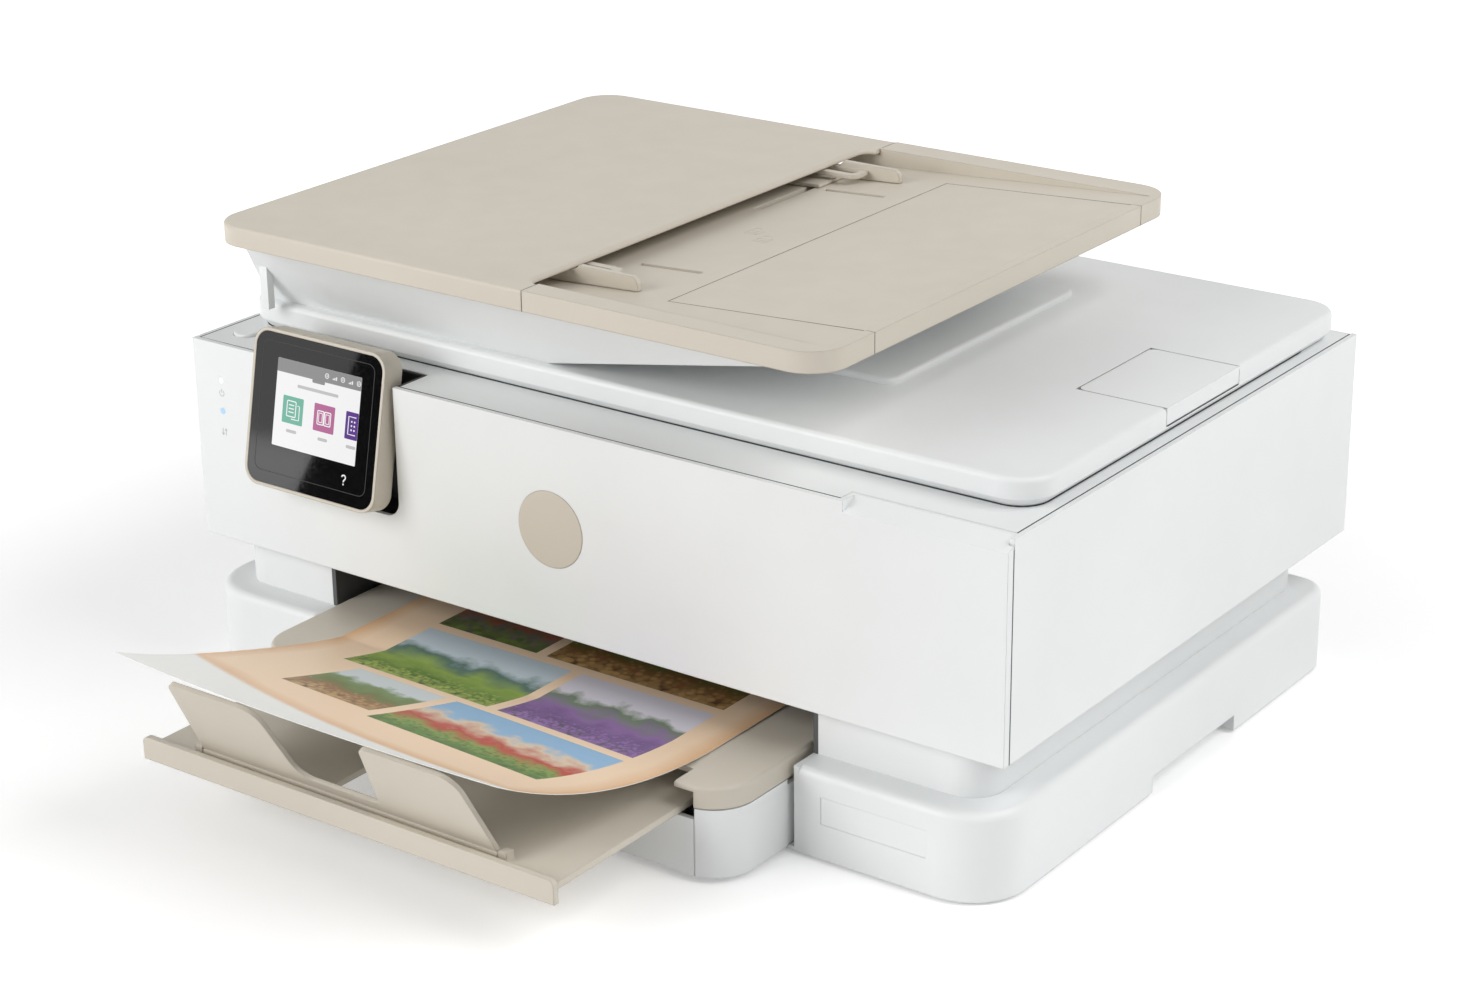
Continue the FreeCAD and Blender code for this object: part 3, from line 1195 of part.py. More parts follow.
def encoder_strip():
    return box(-CHEEK_X, CHEEK_X, STRIP_Y, STRIP_Y + STRIP_T, STRIP_Z - STRIP_H / 2, STRIP_Z + STRIP_H / 2)


def drive_belt():
    loop = stadium_y(-BELT_X, BELT_X, BELT_Z, BELT_R + BELT_T, BELT_Y, BELT_Y + BELT_W)
    return loop.cut(stadium_y(-BELT_X, BELT_X, BELT_Z, BELT_R, BELT_Y - 1, BELT_Y + BELT_W + 1))


def belt_pulley(x):
    wheel = rod_y(x, BELT_Y, BELT_Y + BELT_W, BELT_Z, BELT_R - 0.3)
    hub = rod_y(x, BELT_Y + BELT_W, BELT_Y + 3 * BELT_W, BELT_Z, 3.2)
    bore = rod_y(x, BELT_Y - 1, BEAM_Y + 1, BELT_Z, 2.0 + RUN_FIT)
    return join(wheel, hub).cut(bore)


def idler_mount():
    """The pin of the belt's idler wheel and the arm that holds it."""
    pin = rod_y(-BELT_X, BELT_Y - 1, CHEEK_BACK, BELT_Z, 2.0)
    return [pin, box(-CHEEK_X, -BELT_X + 4, CHEEK_BACK - 3, CHEEK_BACK, BELT_Z - 4, BELT_Z + 4)]


def carriage_motor():
    behind = BEAM_Y + BEAM_T
    shaft = rod_y(BELT_X, BELT_Y - 1, behind + 1, BELT_Z, 2.0)
    return join(shaft, rod_y(BELT_X, behind, behind + MOTOR_L, BELT_Z, MOTOR_R))


def carriage():
    x0 = CART_PARK - CART_W / 2
    x1 = CART_PARK + CART_W / 2
    block = box(x0, x1, CART_FRONT, CART_BACK, CART_BOTTOM, CART_TOP - 6)
    for cell in cartridge_cells():
        x, wide = cell
        block = block.cut(box(x - SEAM, x + wide + SEAM, CART_FRONT + 3, ROD_Y - ROD_R - 6, CART_BOTTOM + 3,
                              CART_TOP + 1))
    block = block.cut(rod_x(x0 - 1, x1 + 1, ROD_Y, ROD_Z, ROD_R + RUN_FIT))
    clamp = box(CART_PARK - 8, CART_PARK + 8, CART_BACK, BELT_Y - SEAM, BELT_Z + BELT_R - 6, BELT_Z + BELT_R)
    return join(block, clamp)


def cartridge_cells():
    """Left edge and width of each ink cartridge in the carriage."""
    x0 = CART_PARK - CART_W / 2
    wide = (CART_W - 16) / 2
    return [(x0 + 5, wide), (x0 + 11 + wide, wide)]


def ink_cartridges():
    cartridges = []
    for x, wide in cartridge_cells():
        body = box(x, x + wide, CART_FRONT + 3 + SEAM, ROD_Y - ROD_R - 6 - SEAM, CART_BOTTOM + 3,
                   CART_TOP - 3)
        tab = box(x + wide / 2 - 6, x + wide / 2 + 6, CART_FRONT + 8, CART_FRONT + 20, CART_TOP - 3, CART_TOP)
        cartridges.append(join(body, tab))
    return Part.makeCompound(cartridges)


def feed_shaft():
    """The driven feed shaft: bar, gear and belt wheel."""
    x_gear = -CHEEK_X - CHEEK_T - SEAM - GEAR_W
    bar = rod_x(x_gear - GEAR_W - 1.5, CHEEK_X + CHEEK_T, FEED_Y, FEED_Z, SHAFT_R)
    wheel = gear(FEED_GEAR_R, GEAR_W, 30, SHAFT_R - 0.2)
    wheel.translate(V(x_gear, FEED_Y, FEED_Z))
    hub = rod_x(x_gear - GEAR_W - 0.5, x_gear, FEED_Y, FEED_Z, PULLEY_R - 0.3)
    return join(bar, wheel, hub, *sleeves(FEED_Y, FEED_Z, FEED_R, 5, FEED_SLEEVE_W))


def sleeves(y, z, radius, count, wide):
    """The rollers along a paper shaft."""
    pitch = (BAY_RIGHT - BAY_LEFT - 2 * SLEEVE_IN) / count
    rings = []
    for index in range(count):
        x = BAY_LEFT + SLEEVE_IN + pitch * (index + 0.5)
        rings.append(rod_x(x - wide / 2, x + wide / 2, y, z, radius))
    return rings


def exit_shaft():
    x_wheel = -CHEEK_X - CHEEK_T - SEAM - 2 * GEAR_W - 0.5
    bar = rod_x(x_wheel - 1, CHEEK_X + CHEEK_T, EXIT_Y, EXIT_Z, SHAFT_R)
    wheel = rod_x(x_wheel, x_wheel + GEAR_W + 0.5, EXIT_Y, EXIT_Z, PULLEY_R - 0.3)
    return join(bar, wheel, *sleeves(EXIT_Y, EXIT_Z, EXIT_R, 6, EXIT_SLEEVE_W))


def transfer_belt():
    """The loop that carries the feed shaft's turn to the exit shaft."""
    x0 = -CHEEK_X - CHEEK_T - SEAM - 2 * GEAR_W
    angle = math.atan2(EXIT_Z - FEED_Z, EXIT_Y - FEED_Y)
    length = math.hypot(EXIT_Y - FEED_Y, EXIT_Z - FEED_Z)
    loops = []
    for radius, grow in ((PULLEY_R + BELT_T, 0), (PULLEY_R, 1)):
        bar = box(x0 - grow, x0 + GEAR_W - 0.8 + grow, 0, length, -radius, radius)
        ends = [rod_x(x0 - grow, x0 + GEAR_W - 0.8 + grow, y, 0, radius) for y in (0, length)]
        loops.append(join(bar, *ends))
    belt = loops[0].cut(loops[1])
    belt.rotate(V(0, 0, 0), V(1, 0, 0), math.degrees(angle))
    belt.translate(V(0, FEED_Y, FEED_Z))
    return belt


def feed_motor():
    y, z = motor_place()
    return rod_x(-CHEEK_X, -CHEEK_X + MOTOR_L, y, z, MOTOR_R)


def motor_pinion():
    y, z = motor_place()
    wheel = gear(pinion_radius(), GEAR_W, 12, 0.5)
    wheel.rotate(V(0, 0, 0), V(1, 0, 0), 48)
    wheel.translate(V(-CHEEK_X - CHEEK_T - SEAM - GEAR_W, y, z))
    shaft = rod_x(-CHEEK_X - CHEEK_T - SEAM - GEAR_W, -CHEEK_X - SEAM, y, z, SHAFT_R - 0.4)
    return join(wheel, shaft)


def platen():
    right = STATION_LEFT - STATION_GAP
    plate = box(BAY_LEFT, right, PLATEN_FRONT, PLATEN_BACK, FLOOR_TOP, FLOOR_TOP + PLATEN_H - 2)
    ribs = []
    count = 14
    for index in range(count):
        x = BAY_LEFT + 16 + index * (right - BAY_LEFT - 34) / (count - 1)
        ribs.append(box(x, x + 2, PLATEN_FRONT + 2, PLATEN_BACK - 2, FLOOR_TOP + PLATEN_H - 3,
                        FLOOR_TOP + PLATEN_H))
    return join(plate, *ribs)


def service_station():
    block = box(STATION_LEFT, CHEEK_X - 2, CART_FRONT + 6, ROD_Y, FLOOR_TOP, CART_BOTTOM - 3)
    first = STATION_LEFT + (CUP_PITCH - CUP_W)
    for x in (first, first + CUP_PITCH):
        block = block.cut(box(x, x + CUP_W, CART_FRONT + 20, ROD_Y - 14, CART_BOTTOM - 9, CART_BOTTOM))
    return block


def pick_roller():
    shaft = rod_x(PICK_X - PICK_W / 2 - 7, PICK_X + PICK_W / 2 + 7, PICK_Y, PICK_Z, SHAFT_R)
    return join(shaft, rod_x(PICK_X - PICK_W / 2, PICK_X + PICK_W / 2, PICK_Y, PICK_Z, PICK_R))


def pick_arm():
    x0 = PICK_X - PICK_W / 2 - 6
    x1 = PICK_X + PICK_W / 2 + 3
    top = BODY_BOTTOM
    bridge = box(x0, x1 + 3, PICK_Y + PICK_R + 4, PATH_BACK + 10, top - 4, top)
    arms = []
    for x in (x0, x1):
        arms.append(box(x, x + 3, PICK_Y - 6, PATH_BACK + 10, PICK_Z - 5, top))
    arm = join(bridge, *arms)
    return arm.cut(rod_x(x0 - 1, x1 + 4, PICK_Y, PICK_Z, SHAFT_R + RUN_FIT))


def main_board():
    """The circuit board on its posts, with two chips."""
    x0 = -INNER_X + BOARD_IN
    x1 = x0 + BOARD_W
    y1 = BODY_D - BOARD_REAR
    y0 = y1 - BOARD_D
    low = FLOOR_TOP + BOARD_UP
    top = low + BOARD_T
    pieces = [box(x0, x1, y0, y1, low, top)]
    for x in (x0 + POST_IN, x1 - POST_IN):
        for y in (y0 + POST_IN, y1 - POST_IN):
            pieces.append(rod_z(x, y, FLOOR_TOP, low, POST_R))
    for x in (x0 + BOARD_W / 3, x0 + BOARD_W * 2 / 3):
        pieces.append(box(x, x + CHIP_W, y0 + CHIP_W, y0 + 2 * CHIP_W, low, top + CHIP_H))
    return join(*pieces)


def power_supply():
    """The power supply's case with vents along its top."""
    x1 = INNER_X - SUPPLY_IN
    x0 = x1 - SUPPLY_W
    y1 = BODY_D - SUPPLY_REAR
    y0 = y1 - SUPPLY_D
    top = FLOOR_TOP + SUPPLY_H
    case = box(x0, x1, y0, y1, FLOOR_TOP, top)
    vents = int((SUPPLY_D - VENT_MARGIN) / VENT_PITCH)
    for index in range(vents):
        y = y0 + VENT_PITCH * (index + 1)
        case = case.cut(box(x0 + VENT_MARGIN, x1 - VENT_MARGIN, y, y + VENT_W, top - VENT_W, top + 1))
    return case


def case_screws():
    """Screw heads with crosses at the rear panel's corners."""
    heads = []
    for x in (-HALF + SCREW_IN, HALF - SCREW_IN):
        for z in (BODY_BOTTOM + 12, DECK_BOTTOM - 14):
            head = rod_y(x, BODY_D, BODY_D + SCREW_T, z, SCREW_R)
            cross = box(x - 0.5, x + 0.5, BODY_D + SCREW_T / 2, BODY_D + SCREW_T + 1, z - 2, z + 2)
            heads.append(head.cut(cross))
    return Part.makeCompound(heads)


NODES = {
    "base_shell": base_shell(),
    "neck_frame": neck_frame(),
    "bay_liner": bay_liner(),
    "rubber_feet": rubber_feet(),
    "body_floor": body_floor(),
    "front_panel": front_panel(),
    "badge_disc": badge_disc(),
    "status_lights": status_lights(),
    "side_panel_left": side_panel(-1),
    "side_panel_right": side_panel(1),
    "rear_panel": rear_panel(),
    "rear_sockets": rear_sockets(),
    "hinge_pins": hinge_pins(),
    "panel_well": panel_well(),
    "panel_housing": panel_housing(),
    "panel_glass": panel_glass(),
    "scanner_deck": scanner_deck(),
    "scanner_glass": scanner_glass(),
    "scan_rail": scan_rail(),
    "scan_bar": scan_bar(),
    "power_button": power_button(),
    "lid_shell": lid_shell(),
    "lid_pad": lid_pad(),
    "lid_catch": lid_catch(),
    "adf_housing": adf_housing(),
    "adf_cover": adf_cover(),
    "adf_tray": adf_tray(),
    "adf_guide_front": adf_guide(False),
    "adf_guide_rear": adf_guide(True),
    "adf_pinion": adf_pinion(),
    "adf_extender": adf_extender(),
    "adf_feed_roller": adf_feed_roller(),
    "adf_pick_roller": adf_pick_roller(),
    "tray_box": tray_box(),
    "output_tray": output_tray(),
    "output_extension": output_extension(),
    "output_flap": output_flap(),
    "tray_guide_left": tray_guide(-1),
    "tray_guide_right": tray_guide(1),
    "printed_sheet": printed_sheet(),
    "mech_frame": mech_frame(),
    "carriage_rod": carriage_rod(),
    "encoder_strip": encoder_strip(),
    "drive_belt": drive_belt(),
    "carriage_motor": carriage_motor(),
    "carriage": carriage(),
    "feed_shaft": feed_shaft(),
    "exit_shaft": exit_shaft(),
    "ink_cartridges": ink_cartridges(),
    "motor_pulley": belt_pulley(BELT_X),
    "idler_pulley": belt_pulley(-BELT_X),
    "transfer_belt": transfer_belt(),
    "feed_motor": feed_motor(),
    "motor_pinion": motor_pinion(),
    "platen": platen(),
    "service_station": service_station(),
    "pick_roller": pick_roller(),
    "main_board": main_board(),
    "power_supply": power_supply(),
    "case_screws": case_screws(),
}

# The part's frame has its origin under the middle of the whole printer.
middle_y = (SHEET_FRONT + HINGE_Y + HINGE_R) / 2
for name, shape in NODES.items():
    shape.translate(V(0, -middle_y, 0))
    shape.exportStep("parts/" + name + ".step")
print("nodes", len(NODES), "middle y", middle_y)
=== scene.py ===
import json
import math

import bmesh
import bpy
from mathutils import Matrix, Vector
from mathutils.bvhtree import BVHTree

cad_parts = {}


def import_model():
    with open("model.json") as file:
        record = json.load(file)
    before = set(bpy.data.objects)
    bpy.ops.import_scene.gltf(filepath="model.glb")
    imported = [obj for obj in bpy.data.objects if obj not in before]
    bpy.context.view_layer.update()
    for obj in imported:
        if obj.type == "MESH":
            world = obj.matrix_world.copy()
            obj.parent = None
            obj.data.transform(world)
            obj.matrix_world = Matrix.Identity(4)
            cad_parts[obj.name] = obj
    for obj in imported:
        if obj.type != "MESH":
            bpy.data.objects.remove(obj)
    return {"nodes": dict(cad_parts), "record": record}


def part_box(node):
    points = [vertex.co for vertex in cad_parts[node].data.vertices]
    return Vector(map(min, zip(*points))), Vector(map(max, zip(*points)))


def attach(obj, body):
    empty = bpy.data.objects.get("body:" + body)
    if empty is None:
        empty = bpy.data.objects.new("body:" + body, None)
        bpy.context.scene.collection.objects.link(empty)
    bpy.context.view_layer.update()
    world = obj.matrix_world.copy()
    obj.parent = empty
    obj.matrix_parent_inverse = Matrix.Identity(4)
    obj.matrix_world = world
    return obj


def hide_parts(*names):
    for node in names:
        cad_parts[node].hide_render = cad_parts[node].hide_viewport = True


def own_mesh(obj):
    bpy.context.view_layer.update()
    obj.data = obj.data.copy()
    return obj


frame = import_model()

# An all-in-one inkjet printer, dressed over its CAD frame. Metres, X right, Y back, Z up.
for start_name in ("Cube", "Light", "Camera"):
    if start_name in bpy.data.objects:
        bpy.data.objects.remove(bpy.data.objects[start_name])
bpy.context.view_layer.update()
nodes = frame["nodes"]
MM = 0.001

# Colours as written in sRGB, 0 to 255
WHITE = (238, 240, 240)
BEIGE = (209, 201, 187)
LINER = (84, 85, 85)
BLACK = (22, 22, 23)
GREY = (150, 151, 152)
STEEL = (196, 198, 202)
BOARD = (38, 92, 64)
FOAM = (232, 232, 228)
PAPER = (246, 246, 243)
TAN = (247, 219, 188)
TAN_EDGE = (226, 178, 128)
GLASS_DARK = (9, 9, 10)
GLASS_DUST = (19, 19, 20)
PANE_LOW = (225, 236, 231)
PANE_HIGH = (236, 243, 240)
RUBBER_DARK = (24, 24, 25)
RUBBER_BLOOM = (52, 52, 53)
COPPER_LINE = (86, 140, 92)
LIGHT_BLUE = (176, 214, 250)
LIGHT_WHITE = (252, 253, 255)
SCREEN_WHITE = (246, 246, 246)
SCREEN_BAR = (142, 142, 142)
SCREEN_SOFT = (196, 196, 196)
SCREEN_GREEN = (112, 184, 162)
SCREEN_ROSE = (184, 104, 152)
SCREEN_VIOLET = (92, 52, 140)
FLOOR_LOW = (247, 247, 247)
FLOOR_HIGH = (250, 250, 250)
FIELD = ((72, 50, 34), (150, 100, 62), (104, 120, 56), (120, 144, 92), (214, 222, 224))
ROOFS = ((64, 96, 44), (132, 160, 74), (188, 62, 46), (226, 206, 180), (150, 190, 224))
ROWS = ((44, 70, 32), (92, 128, 54), (152, 178, 88), (92, 120, 110), (206, 220, 228))
BLOOM = ((70, 88, 48), (116, 90, 138), (152, 118, 174), (120, 138, 112), (226, 222, 232))
STONE = ((70, 64, 60), (124, 116, 108), (180, 96, 66), (206, 196, 180), (168, 198, 222))
# Painted shade for the dark bands in the panel gaps, on white and on beige
SEAM_SHADE_GREY = (58, 58, 60)
SEAM_SHADE_BROWN = (74, 66, 56)
MARK_GREY = (196, 199, 203)
MARK_BEIGE = (226, 220, 209)

# Moulded plastic: scales per metre, depths in metres
FLOW_SCALE = 7.0
SHEEN_SCALE = 60.0
SPARK_SCALE = 2600.0
SPARK_DEPTH = 0.00006
EDGE_ROUND = 0.0006
BEIGE_ROUND = 0.001

# Touch screen, in millimetres from the middle of the glass
SCREEN_W = 53.0
SCREEN_H = 42.0
SCREEN_X = 1.3
SCREEN_Y = 3.7
BAR_H = 6.4
TILE = 13.0
TILE_STEP = 20.0
TILE_X = -13.5
TILE_Y = 1.2
FILM = 0.08
BASE_FILM = (0, FILM)
BAR_FILM = (FILM, 2 * FILM)
SIGN_FILM = (2 * FILM, 3 * FILM)
SCREEN_TOP = SCREEN_Y + SCREEN_H / 2
SCREEN_RIGHT = SCREEN_X + SCREEN_W / 2
WORD_H = 1.5
WORD_R = 0.7
WORD_DROP = TILE / 2 + 3.6
SIGN_STEP = 5.0
SIGN_LINE = 0.5
SIGN_FINE = 0.35
SCREEN_GLOW = 0.95
WHITE_GLOW = 0.97
PANEL_FACING = (0, -1, 0.2)
HELP_X = 21.6
HELP_Y = -25.0
HELP_R = 1.15

# Printed sheet, in millimetres from its left front corner; each picture is X, Y, width and height
SHEET_CELL = 2.0
SHEET_T = 0.25
SHEET_IN = 0.2
SHEET_SPLIT = 130.0
PICTURES = (
    (44, 56, 52, 50), (102, 48, 94, 58),
    (28, 112, 86, 60), (120, 112, 76, 60),
    (28, 178, 60, 60), (94, 178, 102, 60),
)
SHEET_MARGIN = 9.0
SHEET_CURL = 5.0
SHEET_CORNER = 2.0
SHEET_BELLY = 7.0
SHEET_RISE = 0.53
SHEET_BARE = 38.0
CURL_FALL = 2.2
EDGE_DARK = 0.75
EDGE_FADE = 28.0
BARE_FADE = 3.0

# Prints: shares of noise, then name, colours from foot to sky, raggedness, leaf colour and leaf scale
RIDGE_SHARE = 0.55
LEAF_SHARE = 0.45
BAND_START = 0.25
BAND_SPAN = 0.85
CLOUD_SHARE = 0.35
PRINTS = (
    ("print_field", FIELD, 4.0, (196, 158, 104), 18.0),
    ("print_roofs", ROOFS, 5.0, (96, 136, 52), 22.0),
    ("print_rows", ROWS, 3.0, (170, 190, 92), 26.0),
    ("print_bloom", BLOOM, 4.0, (160, 122, 186), 30.0),
    ("print_stone", STONE, 6.0, (112, 130, 70), 16.0),
)

# Foam pad: cells along each side, how far its edge draws in, and how sharply its edge and crown turn
FOAM_CELLS = 24
FOAM_DRAWN = 0.6
FOAM_EDGE = 12
FOAM_CROWN = 16

# Panel seams and moulded marks, in millimetres
SEAM_W = 0.7
SEAM_PROUD = 0.03
GAP_W = 0.4
CORNER_GAP = 0.8
DECK_STEP_X = 146.8
LID_INSET = 3.9
LID_CORNER = 14.0
LID_SHADOW_H = 0.45
LEDGE_H = 5.0
MARK_W = 0.45
MARK_DROP = 6.6
MARK_LOW = -0.05
MARK_HIGH = 0.15
PAGE_SPOTS = ((0, 6), (12, -4))
PAGE_X = 14.0
PAGE_Y = -8.0
PAGE_W = 7.0
PAGE_H = 9.0
PAGE_FOLD = 3.0
RULE_STEP = 2.4
RULE_START = 1.6
RULE_END = 5.2
SWITCH_R = 1.5
ARROW_HALF = 1.7
ARROW_HEAD = 0.8

# Camera, light and floor, in metres and watts
CAMERA_AT = (0.8216, -1.07165, 0.6422)
CAMERA_RIGHT = (0.8075, 0.5896, -0.0117)
CAMERA_UP = (-0.2080, 0.3034, 0.9299)
LENS = 76.16
SENSOR = 36.0
AMBIENT = 0.35
LAMP_AIM = (0, 0, 0.12)
LAMP_SIZE = 1.6
KEY_AT = (-1.2, -2.1, 1.1)
KEY_POWER = 38.0
REAR_AT = (1.7, 0.5, 1.8)
REAR_POWER = 31.0
FLAG_EDGE = ((0.75, 1.2), (-0.31, -1.2), (1.6, -1.2), (1.6, 1.2))
FLAG_REACH = 1.69
FLOOR_HALF = 9.0
FLOOR_CELLS = 8
FADE_START = 0.3
FADE_END = 0.8
GLOW_NEAR = 0.25
GLOW_FAR = 0.6


def linear(value):
    """One sRGB level from 0 to 255 as linear light."""
    level = value / 255
    if level <= 0.04045:
        return level / 12.92
    return ((level + 0.055) / 1.055) ** 2.4


def rgba(colour, share=1.0):
    """An sRGB colour as the linear colour that a shader takes, dimmed by a share."""
    return tuple(linear(c) * share for c in colour) + (1.0,)


# Materials
def material(name):
    """A new node material with its tree and its main shader."""
    made = bpy.data.materials.new(name)
    made.use_nodes = True
    return made, made.node_tree, made.node_tree.nodes["Principled BSDF"]


def own_place(tree):
    """A point's place in the object's own metres."""
    return tree.nodes.new("ShaderNodeTexCoord").outputs["Object"]


def noise(tree, scale, detail=3.0, stretch=(1, 1, 1)):
    """Noise in the object's own metres."""
    mapping = tree.nodes.new("ShaderNodeMapping")
    mapping.inputs["Scale"].default_value = stretch
    texture = tree.nodes.new("ShaderNodeTexNoise")
    texture.inputs["Scale"].default_value = scale
    texture.inputs["Detail"].default_value = detail
    tree.links.new(own_place(tree), mapping.inputs["Vector"])
    tree.links.new(mapping.outputs["Vector"], texture.inputs["Vector"])
    return texture.outputs["Fac"]


def ramp(tree, factor, stops):
    """Colours spread over a factor, as (position, colour) stops."""
    node = tree.nodes.new("ShaderNodeValToRGB")
    band = node.color_ramp
    while len(band.elements) < len(stops):
        band.elements.new(1.0)
    for element, (position, colour) in zip(band.elements, stops):
        element.position = position
        element.color = colour
    tree.links.new(factor, node.inputs["Fac"])
    return node.outputs["Color"]


def spread(tree, factor, low, high):
    """A factor from 0.3 to 0.7 mapped to a range of values."""
    node = tree.nodes.new("ShaderNodeMapRange")
    node.inputs["From Min"].default_value = 0.3
    node.inputs["From Max"].default_value = 0.7
    node.inputs["To Min"].default_value = low
    node.inputs["To Max"].default_value = high
    tree.links.new(factor, node.inputs["Value"])
    return node.outputs["Result"]


def grain(tree, shader, factor, strength, depth, round_edge=EDGE_ROUND):
    """Bump from a texture, over edges that catch the light as moulded ones do."""
    edge = tree.nodes.new("ShaderNodeBevel")
    edge.samples = 4
    edge.inputs["Radius"].default_value = round_edge
    bump = tree.nodes.new("ShaderNodeBump")
    bump.inputs["Strength"].default_value = strength
    bump.inputs["Distance"].default_value = depth
    tree.links.new(factor, bump.inputs["Height"])
    tree.links.new(edge.outputs["Normal"], bump.inputs["Normal"])
    tree.links.new(bump.outputs["Normal"], shader.inputs["Normal"])


def plastic(name, colour, rough, texture=0.12, round_edge=EDGE_ROUND):
    """Moulded plastic: a fine spark texture, faint flow marks and an uneven sheen."""
    made, tree, shader = material(name)
    flow = noise(tree, FLOW_SCALE, 4.0)
    shade = ramp(tree, flow, [(0.3, rgba(colour, 0.955)), (0.7, rgba(colour, 1.02))])
    tree.links.new(shade, shader.inputs["Base Color"])
    sheen = spread(tree, noise(tree, SHEEN_SCALE), rough - 0.04, rough + 0.05)
    tree.links.new(sheen, shader.inputs["Roughness"])
    grain(tree, shader, noise(tree, SPARK_SCALE, 2.0), texture, SPARK_DEPTH, round_edge)
    return made


def brushed_steel():
    """Drawn steel with fine lines along X."""
    made, tree, shader = material("brushed_steel")
    lines = noise(tree, 900.0, 2.0, (0.02, 1, 1))
    tree.links.new(ramp(tree, lines, [(0.3, rgba(STEEL, 0.86)), (0.7, rgba(STEEL))]),
                   shader.inputs["Base Color"])
    tree.links.new(spread(tree, lines, 0.22, 0.36), shader.inputs["Roughness"])
    shader.inputs["Metallic"].default_value = 1.0
    grain(tree, shader, lines, 0.1, 0.00004)
    return made


def dark_glass():
    """Black cover glass with a hard clear surface and a trace of dust."""
    made, tree, shader = material("cover_glass")
    dust = noise(tree, 700.0, 6.0)
    tree.links.new(ramp(tree, dust, [(0.45, rgba(GLASS_DARK)), (0.8, rgba(GLASS_DUST))]),
                   shader.inputs["Base Color"])
    tree.links.new(spread(tree, dust, 0.02, 0.06), shader.inputs["Roughness"])
    shader.inputs["Coat Weight"].default_value = 0.3
    shader.inputs["Coat Roughness"].default_value = 0.02
    return made


def scan_pane():
    """Clear float glass with a faint green body."""
    made, tree, shader = material("scan_pane")
    shader.inputs["Transmission Weight"].default_value = 0.92
    shader.inputs["IOR"].default_value = 1.5
    wave = noise(tree, 30.0)
    tree.links.new(ramp(tree, wave, [(0.3, rgba(PANE_LOW)), (0.7, rgba(PANE_HIGH))]),
                   shader.inputs["Base Color"])
    tree.links.new(spread(tree, wave, 0.02, 0.05), shader.inputs["Roughness"])
    return made


def rubber():
    """Matt black rubber with a dusty bloom."""
    made, tree, shader = material("rubber")
    bloom = noise(tree, 240.0, 6.0)
    tree.links.new(ramp(tree, bloom, [(0.35, rgba(RUBBER_DARK)), (0.75, rgba(RUBBER_BLOOM))]),
                   shader.inputs["Base Color"])
    tree.links.new(spread(tree, bloom, 0.7, 0.9), shader.inputs["Roughness"])
    grain(tree, shader, bloom, 0.4, 0.0002)
    return made


def foam():
    """Closed-cell foam under a white film."""
    made, tree, shader = material("foam")
    cells = tree.nodes.new("ShaderNodeTexVoronoi")
    cells.inputs["Scale"].default_value = 900.0
    tree.links.new(own_place(tree), cells.inputs["Vector"])
    tree.links.new(ramp(tree, cells.outputs["Distance"], [(0.1, rgba(FOAM, 0.93)), (0.6, rgba(FOAM))]),
                   shader.inputs["Base Color"])
    shader.inputs["Roughness"].default_value = 0.75
    grain(tree, shader, cells.outputs["Distance"], 0.3, 0.0002)
    return made


def circuit_board():
    """Green solder mask over copper lines."""
    made, tree, shader = material("circuit_board")
    lines = tree.nodes.new("ShaderNodeTexBrick")
    lines.inputs["Scale"].default_value = 90.0
    lines.inputs["Mortar Size"].default_value = 0.04
    lines.inputs["Color1"].default_value = rgba(BOARD)
    lines.inputs["Color2"].default_value = rgba(BOARD, 0.8)
    lines.inputs["Mortar"].default_value = rgba(COPPER_LINE)
    tree.links.new(own_place(tree), lines.inputs["Vector"])
    tree.links.new(lines.outputs["Color"], shader.inputs["Base Color"])
    shader.inputs["Roughness"].default_value = 0.4
    grain(tree, shader, lines.outputs["Fac"], 0.2, 0.0001)
    return made


def paper():
    """Plain inkjet paper, a little uneven in tone, with fibres in its bump."""
    made, tree, shader = material("plain_paper")
    tone = ramp(tree, noise(tree, 60.0, 5.0), [(0.3, rgba(PAPER, 0.97)), (0.7, rgba(PAPER))])
    tree.links.new(tone, shader.inputs["Base Color"])
    shader.inputs["Roughness"].default_value = 0.55
    bump = tree.nodes.new("ShaderNodeBump")
    bump.inputs["Strength"].default_value = 0.1
    bump.inputs["Distance"].default_value = 0.00005
    tree.links.new(noise(tree, 1500.0), bump.inputs["Height"])
    tree.links.new(bump.outputs["Normal"], shader.inputs["Normal"])
    return made


def lit(name, colour, glow):
    """A lit patch of a display, with its pixel grid."""
    made, tree, shader = material(name)
    grid = tree.nodes.new("ShaderNodeTexChecker")
    grid.inputs["Scale"].default_value = 7000.0
    grid.inputs["Color1"].default_value = rgba(colour)
    grid.inputs["Color2"].default_value = rgba(colour, 0.93)
    tree.links.new(own_place(tree), grid.inputs["Vector"])
    tree.links.new(grid.outputs["Color"], shader.inputs["Emission Color"])
    shader.inputs["Base Color"].default_value = rgba(BLACK)
    shader.inputs["Emission Strength"].default_value = glow
    shader.inputs["Roughness"].default_value = 0.12
    return made


def two_lights():
    """The status lights: a white one over a blue one, each behind a clear window."""
    made, tree, shader = material("indicator_light")
    low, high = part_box("status_lights")
    split = tree.nodes.new("ShaderNodeSeparateXYZ")
    level = tree.nodes.new("ShaderNodeMapRange")
    level.inputs["From Min"].default_value = low.z
    level.inputs["From Max"].default_value = high.z
    tree.links.new(own_place(tree), split.inputs["Vector"])
    tree.links.new(split.outputs["Z"], level.inputs["Value"])
    colours = ramp(tree, level.outputs["Result"], [(0.5, rgba(LIGHT_BLUE)), (0.6, rgba(LIGHT_WHITE))])
    tree.links.new(colours, shader.inputs["Emission Color"])
    shader.inputs["Base Color"].default_value = rgba(BLACK)
    shader.inputs["Emission Strength"].default_value = 1.0
    shader.inputs["Roughness"].default_value = 0.2
    return made


